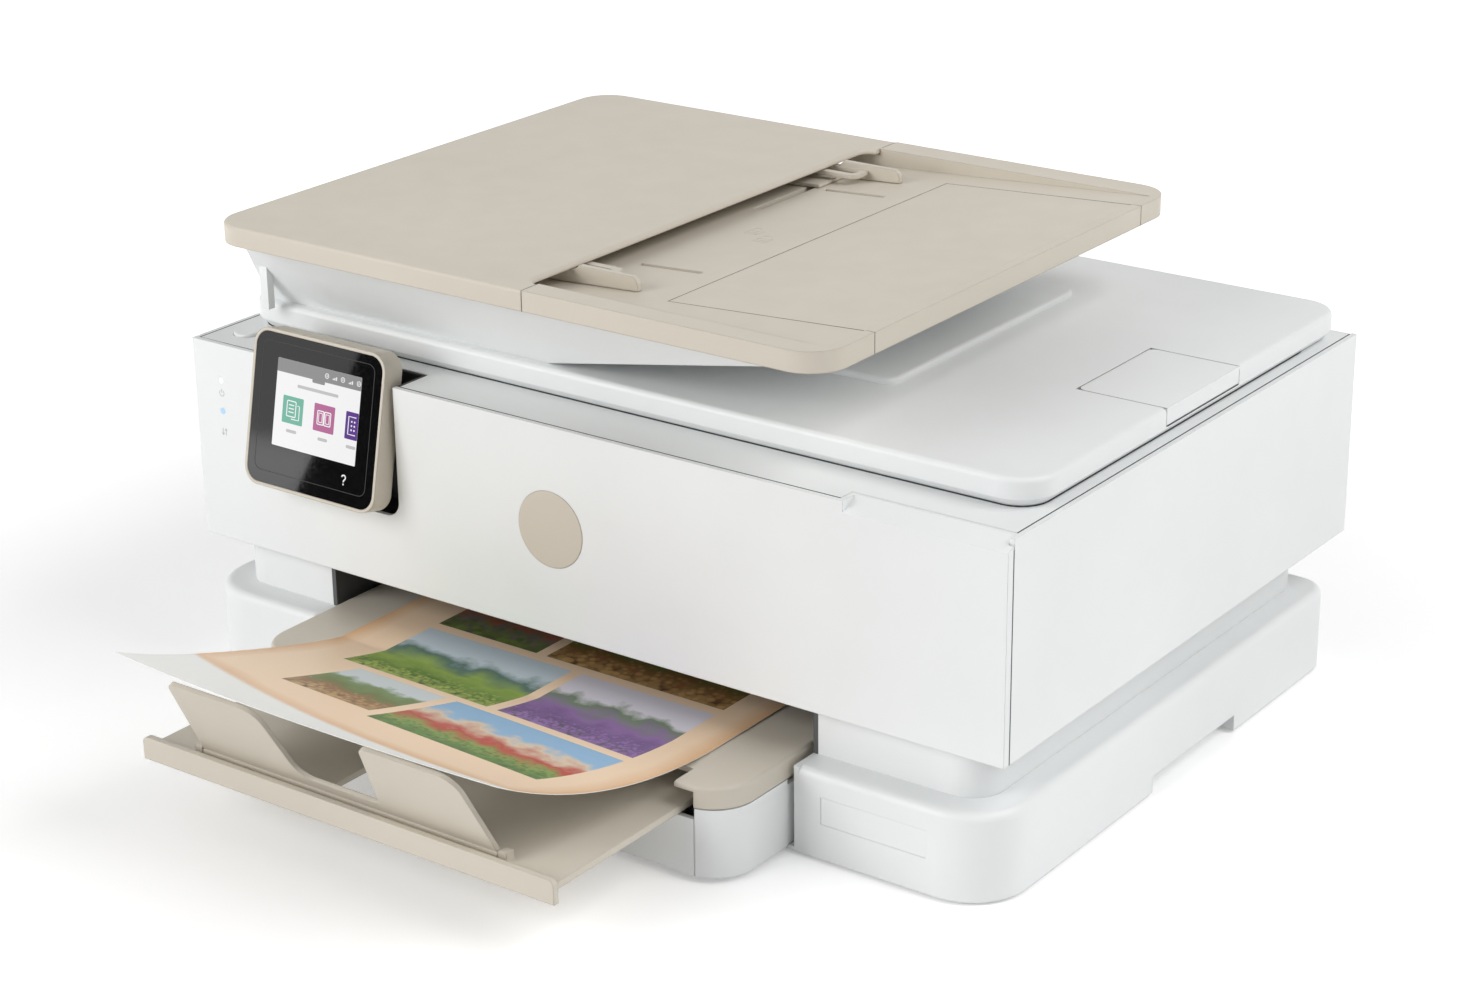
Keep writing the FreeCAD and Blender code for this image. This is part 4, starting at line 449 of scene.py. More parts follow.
finish = {
    "white_shell": plastic("white_shell", WHITE, 0.42),
    "warm_beige": plastic("warm_beige", BEIGE, 0.46, 0.2, BEIGE_ROUND),
    "dark_liner": plastic("dark_liner", LINER, 0.6, 0.3),
    "screen_glass": dark_glass(),
    "scan_glass": scan_pane(),
    "steel": brushed_steel(),
    "black_plastic": plastic("black_plastic", BLACK, 0.5, 0.3),
    "grey_plastic": plastic("grey_plastic", GREY, 0.5, 0.2),
    "rubber": rubber(),
    "foam": foam(),
    "board": circuit_board(),
    "paper": paper(),
    "light": two_lights(),
}
for part in frame["record"]["subparts"]:
    nodes[part["node"]].material_slots[0].material = finish[part["material_slot"]]


# Mesh helpers
def placed(name, data):
    """A new object in the scene with the given data."""
    made = bpy.data.objects.new(name, data)
    bpy.context.scene.collection.objects.link(made)
    return made


def solid(name, mesh, *materials):
    """A mesh as a named object with its materials."""
    data = bpy.data.meshes.new(name)
    mesh.normal_update()
    mesh.to_mesh(data)
    mesh.free()
    for one in materials:
        data.materials.append(one)
    return placed(name, data)


def piece(name, mesh, body, *materials):
    """A mesh as a named piece that rides a body."""
    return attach(solid(name, mesh, *materials), body)


def face_of(node, direction):
    """Middle, right, up and normal of a node's largest face that looks most along a direction."""
    data = nodes[node].data
    wanted = Vector(direction)
    best = max(data.polygons, key=lambda p: p.area * max(0.0, p.normal.dot(wanted)) ** 4)
    normal = best.normal.copy()
    level = max(v.co.dot(normal) for v in data.vertices)
    right = Vector((1, 0, 0))
    up = normal.cross(right).normalized()
    low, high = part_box(node)
    middle = (low + high) / 2
    middle += normal * (level - middle.dot(normal))
    return middle, right, up, normal


def on_face(frame_of):
    """A placing function for millimetres on a face: across, up and proud of it."""
    middle, right, up, normal = frame_of
    return lambda u, v, h: middle + (right * u + up * v + normal * h) * MM


def ground(node):
    """A placing function for millimetres in plan, proud of a node's top."""
    tree = BVHTree.FromPolygons([v.co for v in nodes[node].data.vertices],
                                [p.vertices for p in nodes[node].data.polygons])

    def place(x, y, h):
        hit = tree.ray_cast(Vector((x * MM, y * MM, 1.0)), Vector((0, 0, -1)))[0]
        return hit + Vector((0, 0, h * MM))
    return place


def rounded(x, y, w, h, r, steps=6):
    """A rectangle about its middle, with round corners, anticlockwise."""
    points = []
    for corner, (sx, sy) in enumerate(((1, 1), (-1, 1), (-1, -1), (1, -1))):
        for i in range(steps + 1):
            turn = math.pi / 2 * (corner + i / steps)
            points.append((x + sx * (w / 2 - r) + r * math.cos(turn),
                           y + sy * (h / 2 - r) + r * math.sin(turn)))
    return points


def slab(place, outline, low, high, mesh=None):
    """A thin plate over an outline, from one height to another."""
    mesh = mesh or bmesh.new()
    bottom = [mesh.verts.new(place(x, y, low)) for x, y in outline]
    top = [mesh.verts.new(place(x, y, high)) for x, y in outline]
    mesh.faces.new(top)
    mesh.faces.new(bottom[::-1])
    for i in range(len(outline)):
        j = (i + 1) % len(outline)
        mesh.faces.new((bottom[i], bottom[j], top[j], top[i]))
    return mesh


def stroke(place, path, width, low, high, closed=True, mesh=None):
    """A line of even width along a path, as a thin raised band."""
    mesh = mesh or bmesh.new()
    count = len(path)
    rings = []
    for i, (x, y) in enumerate(path):
        before = path[i - 1] if closed or i else path[0]
        after = path[(i + 1) % count] if closed or i < count - 1 else path[-1]
        along = Vector((after[0] - before[0], after[1] - before[1])).normalized()
        side = Vector((-along.y, along.x)) * width / 2
        rings.append([mesh.verts.new(place(x + s * side.x, y + s * side.y, h))
                      for s, h in ((1, low), (-1, low), (-1, high), (1, high))])
    for i in range(count if closed else count - 1):
        one, two = rings[i], rings[(i + 1) % count]
        for k in range(4):
            mesh.faces.new((one[k], one[(k + 1) % 4], two[(k + 1) % 4], two[k]))
    if not closed:
        mesh.faces.new(rings[0][::-1])
        mesh.faces.new(rings[-1])
    return mesh


def arc(x, y, r, start, end, steps=12):
    """Points along an arc, in degrees."""
    turns = [math.radians(start + (end - start) * i / steps) for i in range(steps + 1)]
    return [(x + r * math.cos(t), y + r * math.sin(t)) for t in turns]


def rim_of(rows, columns):
    """Row and column of each point round the edge of a grid, anticlockwise from its first corner."""
    return ([(0, i) for i in range(columns)] + [(j, columns) for j in range(rows)]
            + [(rows, i) for i in range(columns, 0, -1)] + [(j, 0) for j in range(rows, 0, -1)])


def box_mm(node):
    """The two far corners of a node, in millimetres."""
    low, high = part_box(node)
    return low / MM, high / MM


def top_plane(z):
    """A placing function for a level plane: X, Y and proud upwards."""
    return on_face((Vector((0, 0, z)) * MM, Vector((1, 0, 0)), Vector((0, 1, 0)), Vector((0, 0, 1))))


def front_plane(y):
    """A placing function for a plane that looks forward: X, Z and proud to the front."""
    return on_face((Vector((0, y, 0)) * MM, Vector((1, 0, 0)), Vector((0, 0, 1)), Vector((0, -1, 0))))


def side_plane(x, side=1):
    """A placing function for a plane that looks sideways: Y, Z and proud outwards."""
    return on_face((Vector((x, 0, 0)) * MM, Vector((0, 1, 0)), Vector((0, 0, 1)), Vector((side, 0, 0))))


# Seams between panels, darkened with bands of painted shade
gap_shade_grey = plastic("seam_shadow", SEAM_SHADE_GREY, 0.7)
gap_shade_brown = plastic("seam_shadow_beige", SEAM_SHADE_BROWN, 0.7)


def line(place, path, mesh=None, width=SEAM_W):
    """An open dark line along a path on a surface."""
    return stroke(place, path, width, 0, SEAM_PROUD, False, mesh)


def gap_shadow_band(place, path, mesh=None, width=GAP_W):
    """A dark band just below the surface, in the gap between two pieces: painted shade in the gap."""
    return stroke(place, path, width, -SEAM_W, -SEAM_PROUD, False, mesh)


def shell_seams():
    """The lines where the deck meets the side panels and the front panel, drawn as dark bands of painted
    shade.
    """
    deck_low, deck_high = box_mm("scanner_deck")
    side_low, side_high = box_mm("side_panel_right")
    front_low, front_high = box_mm("front_panel")
    well_low, well_high = box_mm("panel_well")
    half_gap = (side_low.x - deck_high.x) / 2
    edge = deck_high.x + half_gap
    front = deck_low.y - half_gap
    step = front_high.y + half_gap
    back = side_high.y - 3 * SEAM_W
    top = top_plane(side_high.z)
    mesh = line(top, [(well_high.x + SEAM_W, front), (DECK_STEP_X, front)])
    line(top, [(edge, step), (edge, back)], mesh)
    line(top, [(well_low.x - SEAM_W, front), (-edge, front), (-edge, back)], mesh)
    corner = side_low.y - CORNER_GAP / 2
    for side in (-1, 1):
        upright = [(corner, front_low.z), (corner, front_high.z - LEDGE_H)]
        gap_shadow_band(side_plane(side * side_high.x, side), upright, mesh, CORNER_GAP)
    piece("shell_seams", mesh, "chassis", gap_shade_grey)


def lid_seal():
    """A dark band in the gap under the lid's edge: painted shadow of the gap."""
    low, high = box_mm("lid_shell")
    deck = box_mm("side_panel_right")[1].z
    front = low.y + LID_INSET
    back = box_mm("lid_pad")[1].y + 3 * LID_INSET
    wide = high.x - low.x - 2 * LID_INSET
    ring = rounded((low.x + high.x) / 2, (front + back) / 2, wide, back - front, LID_CORNER)
    piece("lid_seal", stroke(top_plane(deck), ring, SEAM_W, SEAM_PROUD, LID_SHADOW_H), "lid", gap_shade_grey)


def catch_seam():
    """The outline of the catch in the lid's top and side, drawn as dark lines of painted shade."""
    low, high = box_mm("lid_catch")
    gap = SEAM_W / 3
    path = [(high.x, low.y - gap), (low.x - gap, low.y - gap), (low.x - gap, high.y + gap),
            (high.x, high.y + gap)]
    mesh = line(top_plane(high.z), path, None, SEAM_W / 2)
    below = low.z - 2 * gap
    line(side_plane(high.x), [(low.y, below), (high.y, below)], mesh)
    piece("catch_seam", mesh, "lid", gap_shade_grey)


def feeder_seams():
    """The split between the feeder's cover and its tray, and the edge of the pull-out leaf, drawn as dark
    bands of painted shade in the gaps.
    """
    tray_low, tray_high = box_mm("adf_tray")
    leaf_low, leaf_high = box_mm("adf_extender")
    split = box_mm("adf_cover")[1].x + GAP_W / 2
    rim = (leaf_low.y - tray_low.y) / 3
    top = top_plane(tray_high.z)
    mesh = gap_shadow_band(top, [(split, tray_low.y + SEAM_W), (split, tray_low.y + rim)])
    gap_shadow_band(top, [(split, tray_high.y - rim), (split, tray_high.y - SEAM_W)], mesh)
    gap_shadow_band(front_plane(tray_low.y), [(split, leaf_low.z), (split, tray_high.z - SEAM_PROUD)], mesh)
    piece("feeder_seams", mesh, "lid", gap_shade_brown)
    place = ground("adf_extender")

    def beside(x, y, h):
        inside_x = min(max(x, leaf_low.x + GAP_W), leaf_high.x - GAP_W)
        inside_y = min(max(y, leaf_low.y + GAP_W), leaf_high.y - GAP_W)
        return Vector((x * MM, y * MM, place(inside_x, inside_y, h).z))
    left, right = leaf_low.x - GAP_W / 2, leaf_high.x - 2 * SEAM_W
    front, back = leaf_low.y - GAP_W / 2, leaf_high.y + GAP_W / 2
    leaf = gap_shadow_band(beside, [(right, front), (left, front), (left, back), (right, back)])
    for y in (front, back):
        gap_shadow_band(side_plane(leaf_high.x), [(y, leaf_low.z), (y, leaf_high.z - SEAM_PROUD)], leaf)
    piece("leaf_seams", leaf, "lid", gap_shade_brown)


# Moulded and printed marks
def feeder_marks():
    """Raised signs on the feeder's floor: two small pages with a corner turned down."""
    low, high = box_mm("adf_tray")
    place = ground("adf_tray")
    left = box_mm("adf_cover")[1].x + PAGE_X
    front = (low.y + high.y) / 2 + PAGE_Y
    mesh = bmesh.new()
    for dx, dy in PAGE_SPOTS:
        x, y = left + dx, front + dy
        page = [(x, y), (x + PAGE_W, y), (x + PAGE_W, y + PAGE_H - PAGE_FOLD),
                (x + PAGE_W - PAGE_FOLD, y + PAGE_H), (x, y + PAGE_H)]
        stroke(place, page, MARK_W, MARK_LOW, MARK_HIGH, True, mesh)
        for k in (1, 2):
            rule = [(x + RULE_START, y + RULE_STEP * k), (x + RULE_END, y + RULE_STEP * k)]
            stroke(place, rule, MARK_W, MARK_LOW, MARK_HIGH, False, mesh)
    piece("feeder_marks", mesh, "lid", plastic("mould_mark", MARK_BEIGE, 0.4))


def status_marks():
    """Pale signs under the status lights: a switch ring and two arrows."""
    low, high = box_mm("status_lights")
    front = front_plane(box_mm("front_panel")[0].y)
    x = (low.x + high.x) / 2
    radius = (high.x - low.x) / 2
    first, second = high.z - radius - MARK_DROP, low.z + radius - MARK_DROP
    mesh = line(front, arc(x, first, SWITCH_R, 125, 415), None, MARK_W)
    line(front, [(x, first + 0.2), (x, first + 2.2)], mesh, MARK_W)
    for side in (-1, 1):
        foot, tip = second - side * ARROW_HALF, second + side * ARROW_HALF
        line(front, [(x + side, foot), (x + side, tip)], mesh, MARK_W)
        head = [(x + side - ARROW_HEAD, tip - side), (x + side, tip), (x + side + ARROW_HEAD, tip - side)]
        line(front, head, mesh, MARK_W)
    piece("status_marks", mesh, "chassis", plastic("print_grey", MARK_GREY, 0.5))


shell_seams()
lid_seal()
catch_seam()
feeder_seams()
feeder_marks()
status_marks()


# Touch screen
glass = on_face(face_of("panel_glass", PANEL_FACING))
ink_white = lit("screen_white", SCREEN_WHITE, WHITE_GLOW)
bar_grey = lit("screen_bar", SCREEN_BAR, SCREEN_GLOW)
soft_grey = lit("screen_soft_grey", SCREEN_SOFT, SCREEN_GLOW)
tile_colours = (
    lit("screen_green", SCREEN_GREEN, SCREEN_GLOW),
    lit("screen_rose", SCREEN_ROSE, SCREEN_GLOW),
    lit("screen_violet", SCREEN_VIOLET, SCREEN_GLOW),
)


def screen_base():
    """The lit area with its bar along the top and a pull tab under the bar."""
    area = rounded(SCREEN_X, SCREEN_Y, SCREEN_W, SCREEN_H, 0.4)
    piece("screen_area", slab(glass, area, *BASE_FILM), "control_panel", ink_white)
    bar = rounded(SCREEN_X, SCREEN_TOP - BAR_H / 2, SCREEN_W, BAR_H, 0.4)
    made = slab(glass, bar, *BAR_FILM)
    slab(glass, rounded(SCREEN_X, SCREEN_TOP - BAR_H - 0.6, 8.0, 1.8, 0.8), *BAR_FILM, made)
    piece("screen_bar", made, "control_panel", bar_grey)


def screen_signs():
    """Small signs in the bar: rings, bars and dots in white."""
    made = bmesh.new()
    level = SCREEN_TOP - BAR_H / 2
    for i in range(5):
        x = SCREEN_X + SIGN_STEP * (i + 1)
        if i % 2:
            for k in range(3):
                step = rounded(x - 1.0 + k, level - 0.8 + 0.25 * k, 0.6, 0.7 + 0.5 * k, 0.2)
                slab(glass, step, *SIGN_FILM, made)
        else:
            stroke(glass, arc(x, level, 1.1, 0, 330), SIGN_FINE, *SIGN_FILM, True, made)
            slab(glass, arc(x, level, SIGN_FINE, 0, 345), *SIGN_FILM, made)
    piece("screen_signs", made, "control_panel", ink_white)


def screen_lines():
    """Plain grey bars under the screen's top bar and under its tiles."""
    made = slab(glass, rounded(SCREEN_X, SCREEN_TOP - BAR_H - 5.0, 26.0, WORD_H, WORD_R), *BAR_FILM)
    for i, width in enumerate((6.5, 6.0)):
        bar = rounded(TILE_X + TILE_STEP * i, TILE_Y - WORD_DROP, width, WORD_H, WORD_R)
        slab(glass, bar, *BAR_FILM, made)
    last = rounded(SCREEN_RIGHT - 3.4, TILE_Y - WORD_DROP, 6.0, WORD_H, WORD_R)
    slab(glass, last, *BAR_FILM, made)
    piece("screen_lines", made, "control_panel", soft_grey)


def sheet_sign(x, y):
    """A page with three lines and a second page behind it."""
    made = stroke(glass, rounded(x - 0.9, y + 0.6, 5.6, 7.4, 0.5), SIGN_LINE, *SIGN_FILM)
    for k in range(3):
        rule = rounded(x - 0.9, y + 2.4 - 1.7 * k, 3.4, SIGN_LINE, 0.2)
        slab(glass, rule, *SIGN_FILM, made)
    behind = [(x + 2.9, y + 2.6), (x + 4.2, y + 2.6), (x + 4.2, y - 4.2), (x - 0.6, y - 4.2)]
    return stroke(glass, behind, SIGN_LINE, *SIGN_FILM, False, made)


def book_sign(x, y):
    """Two facing pages."""
    made = bmesh.new()
    for side in (-1, 1):
        stroke(glass, rounded(x + side * 2.2, y, 3.9, 6.4, 0.4), SIGN_LINE, *SIGN_FILM, True, made)
        stroke(glass, rounded(x + side * 2.2, y, 2.2, 4.4, 0.3), SIGN_FINE, *SIGN_FILM, True, made)
    return made


def grid_sign(x, y):
    """A frame with dots, cut off by the edge of the screen."""
    edge = [(x + 4.6, y + 4.2), (x, y + 4.2), (x, y - 4.2), (x + 4.6, y - 4.2)]
    made = stroke(glass, edge, SIGN_LINE, *SIGN_FILM, False)
    for row in range(3):
        for column in range(2):
            dot = rounded(x + 2.0 + 1.8 * column, y + 2.0 - 2.0 * row, 0.8, 0.8, 0.2)
            slab(glass, dot, *SIGN_FILM, made)
    return made


def screen_tiles():
    """Two whole tiles and one that runs off the edge, each with its sign."""
    signs = (sheet_sign, book_sign, grid_sign)
    for i, colour in enumerate(tile_colours):
        left = TILE_X + TILE_STEP * i - TILE / 2
        width = min(TILE, SCREEN_RIGHT - left)
        tile = rounded(left + width / 2, TILE_Y, width, TILE, 0.5)
        piece("screen_tile_%d" % (i + 1), slab(glass, tile, *BAR_FILM), "control_panel", colour)
        x = left + TILE / 2 if i < 2 else left + 1.9
        piece("screen_sign_%d" % (i + 1), signs[i](x, TILE_Y), "control_panel", ink_white)


def help_mark():
    """A plain question mark under the screen."""
    stem = HELP_X + 0.05
    hook = arc(HELP_X, HELP_Y + 1.1, HELP_R, 170, -50) + [(stem, HELP_Y - 0.5), (stem, HELP_Y - 1.1)]
    made = stroke(glass, hook, 0.6, *BASE_FILM, False)
    slab(glass, rounded(stem, HELP_Y - 2.1, 0.75, 0.75, 0.3), *BASE_FILM, made)
    piece("help_mark", made, "control_panel", ink_white)


def window_line():
    """The edge of the display module, a faint line under the glass."""
    low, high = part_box("panel_glass")
    wide = (high.x - low.x) / MM - 9.0
    path = rounded(0, 0.6, wide, wide - 8.0, 4.0)
    piece("window_line", stroke(glass, path, 0.3, 0, FILM / 2), "control_panel", finish["black_plastic"])


screen_base()
screen_signs()
screen_lines()
screen_tiles()
help_mark()
window_line()


# Printed sheet
def picture(name, stops, ridge, leaf, leaf_size):
    """A small printed landscape: bands of colour up the picture, ragged by noise and dotted with leaves."""
    made, tree, shader = material(name)
    across = tree.nodes.new("ShaderNodeUVMap")
    across.uv_map = "picture"
    split = tree.nodes.new("ShaderNodeSeparateXYZ")
    ragged = tree.nodes.new("ShaderNodeTexNoise")
    ragged.inputs["Scale"].default_value = ridge
    ragged.inputs["Detail"].default_value = 6.0
    height = tree.nodes.new("ShaderNodeMath")
    height.operation = "MULTIPLY_ADD"
    height.inputs[1].default_value = RIDGE_SHARE
    dots = tree.nodes.new("ShaderNodeTexVoronoi")
    dots.inputs["Scale"].default_value = leaf_size
    cover = tree.nodes.new("ShaderNodeMath")
    cover.operation = "MULTIPLY_ADD"
    cover.inputs[1].default_value = LEAF_SHARE
    mix = tree.nodes.new("ShaderNodeMix")
    mix.data_type = "RGBA"
    tree.links.new(across.outputs["UV"], split.inputs["Vector"])
    tree.links.new(across.outputs["UV"], ragged.inputs["Vector"])
    tree.links.new(across.outputs["UV"], dots.inputs["Vector"])
    tree.links.new(ragged.outputs["Fac"], height.inputs[0])
    tree.links.new(split.outputs["Y"], height.inputs[2])
    count = len(stops) - 1
    bands = ramp(tree, height.outputs["Value"],
                 [(BAND_START + BAND_SPAN * i / count, rgba(c)) for i, c in enumerate(stops)])
    tree.links.new(dots.outputs["Distance"], cover.inputs[0])
    tree.links.new(split.outputs["Y"], cover.inputs[2])
    tree.links.new(ramp(tree, cover.outputs["Value"], [(0.3, (1, 1, 1, 1)), (0.5, (0, 0, 0, 1))]),
                   mix.inputs["Factor"])
    tree.links.new(bands, mix.inputs["A"])
    tree.links.new(ramp(tree, dots.outputs["Color"], [(0.2, rgba(leaf, 0.6)), (0.8, rgba(leaf))]),
                   mix.inputs["B"])
    tree.links.new(mix.outputs["Result"], shader.inputs["Base Color"])
    shader.inputs["Roughness"].default_value = 0.4
    return made


def tan_ground():
    """Warm printed ground that darkens towards the sheet's edges."""
    made, tree, shader = material("print_ground")
    edge = tree.nodes.new("ShaderNodeAttribute")
    edge.attribute_name = "edge"
    cloud = noise(tree, 25.0, 5.0)
    add = tree.nodes.new("ShaderNodeMath")
    add.operation = "MULTIPLY_ADD"
    add.inputs[1].default_value = CLOUD_SHARE
    tree.links.new(cloud, add.inputs[0])
    tree.links.new(edge.outputs["Fac"], add.inputs[2])
    shade = ramp(tree, add.outputs["Value"], [(0.1, rgba(TAN)), (0.55, rgba(TAN)), (1.0, rgba(TAN_EDGE))])
    bare = tree.nodes.new("ShaderNodeAttribute")
    bare.attribute_name = "bare"
    mix = tree.nodes.new("ShaderNodeMix")
    mix.data_type = "RGBA"
    mix.inputs["B"].default_value = rgba(PAPER)
    tree.links.new(bare.outputs["Fac"], mix.inputs["Factor"])
    tree.links.new(shade, mix.inputs["A"])
    tree.links.new(mix.outputs["Result"], shader.inputs["Base Color"])
    shader.inputs["Roughness"].default_value = 0.42
    return made


def sheet_rows():
    """Points of the page's two faces, row by row from its front edge: printed face, then white face."""
    low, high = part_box("printed_sheet")
    left, front = low.x / MM, low.y / MM
    wide, deep = high.x / MM - left, high.y / MM - front
    top = ground("printed_sheet")
    columns, rows = round(wide / SHEET_CELL), round(deep / SHEET_CELL)
    faces = []
    for lift in (0.0, -SHEET_T):
        grid = []
        for j in range(rows + 1):
            t = j / rows
            inside_y = min(max(front + deep * t, front + SHEET_IN), front + deep - SHEET_IN)
            row = []
            for i in range(columns + 1):
                s = i / columns
                inside_x = min(max(left + wide * s, left + SHEET_IN), left + wide - SHEET_IN)
                corner = SHEET_CURL * (1 - s) ** 4 + SHEET_CORNER * s ** 4
                curl = corner * max(0.0, 1 - CURL_FALL * t) ** 2
                belly = SHEET_BELLY * (1 - s ** 2) * math.sin(math.pi * min(1.0, t / SHEET_RISE))
                row.append(top(inside_x, inside_y, lift + curl + belly))
            grid.append(row)
        faces.append(grid)
    return faces


def sheet_length(name, body, faces, first, last, inks):
    """One length of the page between two rows, printed above and white below."""
    columns = len(faces[0][0]) - 1
    mesh = bmesh.new()
    upper, lower = [[[mesh.verts.new(p) for p in row] for row in grid[first:last + 1]] for grid in faces]
    uv = mesh.loops.layers.uv.new("picture")
    corners = ((0, 0), (1, 0), (1, 1), (0, 1))
    rows = last - first
    for j in range(rows):
        for i in range(columns):
            x, y = (i + 0.5) * SHEET_CELL, (first + j + 0.5) * SHEET_CELL
            face = mesh.faces.new((upper[j][i], upper[j][i + 1], upper[j + 1][i + 1], upper[j + 1][i]))
            face.material_index = 1
            for slot, (px, py, pw, ph) in enumerate(PICTURES):
                if px < x < px + pw and py < y < py + ph:
                    face.material_index = 2 + slot % (len(inks) - 2)
                    for loop, (di, dj) in zip(face.loops, corners):
                        across, along = (i + di) * SHEET_CELL - px, (first + j + dj) * SHEET_CELL - py
                        loop[uv].uv = (across / ph, along / ph)
            mesh.faces.new((lower[j][i], lower[j + 1][i], lower[j + 1][i + 1], lower[j][i + 1]))
    for face in mesh.faces:
        face.smooth = True
    rim = rim_of(rows, columns)
    walls = [(mesh.verts.new(lower[j][i].co), mesh.verts.new(upper[j][i].co)) for j, i in rim]
    for (base, crest), (next_base, next_crest) in zip(walls, walls[1:] + walls[:1]):
        mesh.faces.new((base, next_base, next_crest, crest))
    made = piece(name, mesh, body, *inks)
    tint_edges(made)
    return made


def tint_edges(page):
    """Marks where the print darkens towards the page's sides and where its front margin stays bare."""
    low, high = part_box("printed_sheet")
    wide = (high.x - low.x) / MM
    edge = page.data.attributes.new("edge", "FLOAT", "POINT")
    bare = page.data.attributes.new("bare", "FLOAT", "POINT")
    for v, dark, blank in zip(page.data.vertices, edge.data, bare.data):
        x, y = (v.co.x - low.x) / MM, (v.co.y - low.y) / MM
        margin = SHEET_MARGIN + SHEET_BARE * (1 - x / wide) ** 2
        dark.value = max(0.0, EDGE_DARK - min(x, wide - x, y - margin) / EDGE_FADE)
        blank.value = min(1.0, max(0.0, (margin - y) / BARE_FADE + 0.5))


def printed_page():
    """The page in two lengths, so that its front can go in with the output extension."""
    inks = [finish["paper"], tan_ground()] + [picture(*one) for one in PRINTS]
    faces = sheet_rows()
    split = round(SHEET_SPLIT / SHEET_CELL)
    rear = sheet_length("printed_page", "paper_tray", faces, split, len(faces[0]) - 1, inks)
    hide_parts("printed_sheet")
    front = sheet_length("printed_page_front", "output_extension", faces, 0, split, inks)
    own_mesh(front)


printed_page()


# Soft pad under the lid
def lid_foam():
    """A foam pad with soft edges and a faint crown."""
    low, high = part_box("lid_pad")
    wide, deep, thick = (high - low) / MM
    middle = (low + high) / 2
    count = FOAM_CELLS
    mesh = bmesh.new()
    sides = []
    for lower in (True, False):
        grid = []
        for j in range(count + 1):
            row = []
            for i in range(count + 1):
                s, t = 2 * i / count - 1, 2 * j / count - 1
                out = max(abs(s), abs(t))
                drawn = FOAM_DRAWN * out ** FOAM_EDGE
                height = -(1 - out ** FOAM_CROWN) * thick / 2 if lower else thick / 2
                spot = Vector((s * (wide / 2 - drawn), t * (deep / 2 - drawn), height))
                row.append(mesh.verts.new(middle + spot * MM))
            grid.append(row)
        sides.append(grid)
    below, above = sides
    for j in range(count):
        for i in range(count):
            mesh.faces.new((above[j][i], above[j][i + 1], above[j + 1][i + 1], above[j + 1][i]))
            mesh.faces.new((below[j][i], below[j + 1][i], below[j + 1][i + 1], below[j][i + 1]))
    rim = rim_of(count, count)
    for (j, i), (n, m) in zip(rim, rim[1:] + rim[:1]):
        mesh.faces.new((below[j][i], below[n][m], above[n][m], above[j][i]))
    for face in mesh.faces:
        face.smooth = True
    made = piece("lid_foam", mesh, "lid", finish["foam"])
    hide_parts("lid_pad")


lid_foam()


# Camera, light and floor
def camera():
    """The photograph's view."""
    data = bpy.data.cameras.new("camera")
    data.lens = LENS
    data.sensor_width = SENSOR
    made = placed("camera", data)
    right = Vector(CAMERA_RIGHT).normalized()
    back = right.cross(Vector(CAMERA_UP)).normalized()
    up = back.cross(right)
    made.matrix_world = Matrix.Translation(CAMERA_AT) @ Matrix((right, up, back)).transposed().to_4x4()
    bpy.context.scene.camera = made


def lamp(name, place, power):
    """A soft square lamp that looks at the printer."""
    data = bpy.data.lights.new(name, "AREA")
    data.size = LAMP_SIZE
    data.energy = power
    made = placed(name, data)
    made.location = place
    made.rotation_euler = (Vector(LAMP_AIM) - Vector(place)).to_track_quat("-Z", "Y").to_euler()


def seen_ray(tree):
    """1 for a ray that shows the background: seen, mirrored or through glass."""
    path = tree.nodes.new("ShaderNodeLightPath")
    first = tree.nodes.new("ShaderNodeMath")
    first.operation = "MAXIMUM"
    both = tree.nodes.new("ShaderNodeMath")
    both.operation = "MAXIMUM"
    tree.links.new(path.outputs["Is Camera Ray"], first.inputs[0])
    tree.links.new(path.outputs["Is Glossy Ray"], first.inputs[1])
    tree.links.new(first.outputs["Value"], both.inputs[0])
    tree.links.new(path.outputs["Is Transmission Ray"], both.inputs[1])
    return both.outputs["Value"]


def world():
    """Even light from all round, with a white background."""
    made = bpy.data.worlds.new("studio")
    bpy.context.scene.world = made
    made.use_nodes = True
    tree = made.node_tree
    light = tree.nodes["Background"]
    light.inputs["Color"].default_value = (1, 1, 1, 1)
    light.inputs["Strength"].default_value = AMBIENT
    white = tree.nodes.new("ShaderNodeBackground")
    white.inputs["Color"].default_value = (1, 1, 1, 1)
    mix = tree.nodes.new("ShaderNodeMixShader")
    tree.links.new(seen_ray(tree), mix.inputs["Fac"])
    tree.links.new(light.outputs["Background"], mix.inputs[1])
    tree.links.new(white.outputs["Background"], mix.inputs[2])
    tree.links.new(mix.outputs["Shader"], tree.nodes["World Output"].inputs["Surface"])


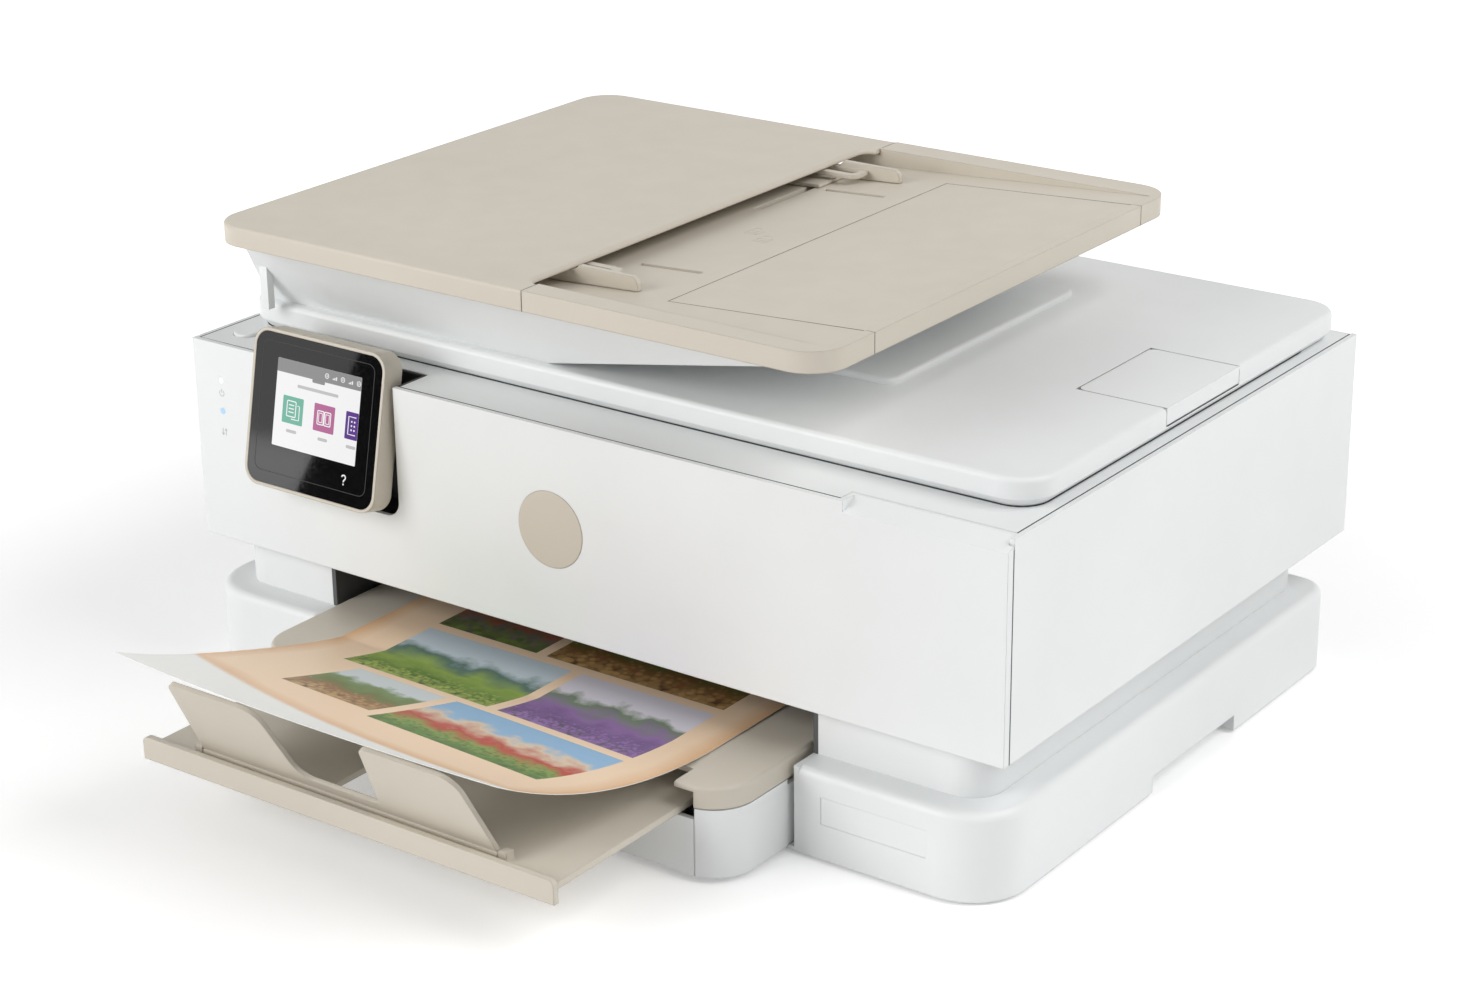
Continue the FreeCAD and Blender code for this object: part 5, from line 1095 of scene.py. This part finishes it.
def flag():
    """A black card that the glass mirrors: it is seen in reflections alone."""
    middle, right, up, normal = face_of("panel_glass", PANEL_FACING)
    low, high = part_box("panel_glass")
    half = (high.x - low.x) / 2
    eye = Vector(CAMERA_AT)
    eye -= normal * 2 * (eye - middle).dot(normal)
    mesh = bmesh.new()
    corners = []
    for across, rise in FLAG_EDGE:
        spot = middle + right * half * across + up * half * rise
        corners.append(mesh.verts.new(eye + (spot - eye) * FLAG_REACH))
    mesh.faces.new(corners)
    made = solid("flag", mesh, plastic("flag_cloth", BLACK, 0.9))
    made.visible_camera = False
    made.visible_diffuse = False
    made.visible_shadow = False


def floor_white():
    """White that takes the shadow near the object and glows more for the eye away from it."""
    made, tree, shader = material("floor")
    tone = ramp(tree, noise(tree, 3.0), [(0.3, rgba(FLOOR_LOW)), (0.7, rgba(FLOOR_HIGH))])
    tree.links.new(tone, shader.inputs["Base Color"])
    shader.inputs["Roughness"].default_value = 0.9
    shader.inputs["Specular IOR Level"].default_value = 0.1
    shader.inputs["Emission Color"].default_value = (1, 1, 1, 1)
    away = tree.nodes.new("ShaderNodeVectorMath")
    away.operation = "LENGTH"
    fade = tree.nodes.new("ShaderNodeMapRange")
    fade.interpolation_type = "SMOOTHSTEP"
    fade.inputs["From Min"].default_value = FADE_START
    fade.inputs["From Max"].default_value = FADE_END
    fade.inputs["To Min"].default_value = GLOW_NEAR
    fade.inputs["To Max"].default_value = GLOW_FAR
    glow = tree.nodes.new("ShaderNodeMath")
    glow.operation = "MULTIPLY"
    tree.links.new(own_place(tree), away.inputs[0])
    tree.links.new(away.outputs["Value"], fade.inputs["Value"])
    tree.links.new(seen_ray(tree), glow.inputs[0])
    tree.links.new(fade.outputs["Result"], glow.inputs[1])
    tree.links.new(glow.outputs["Value"], shader.inputs["Emission Strength"])
    return made


def floor():
    """A plain white floor that keeps the object's shadow and fades to white away from it."""
    mesh = bmesh.new()
    bmesh.ops.create_grid(mesh, x_segments=FLOOR_CELLS, y_segments=FLOOR_CELLS, size=FLOOR_HALF)
    made = solid("floor", mesh, floor_white())


bpy.context.scene.view_settings.view_transform = "Standard"
camera()
world()
floor()
flag()
lamp("key", KEY_AT, KEY_POWER)
lamp("rear", REAR_AT, REAR_POWER)

bpy.context.view_layer.update()
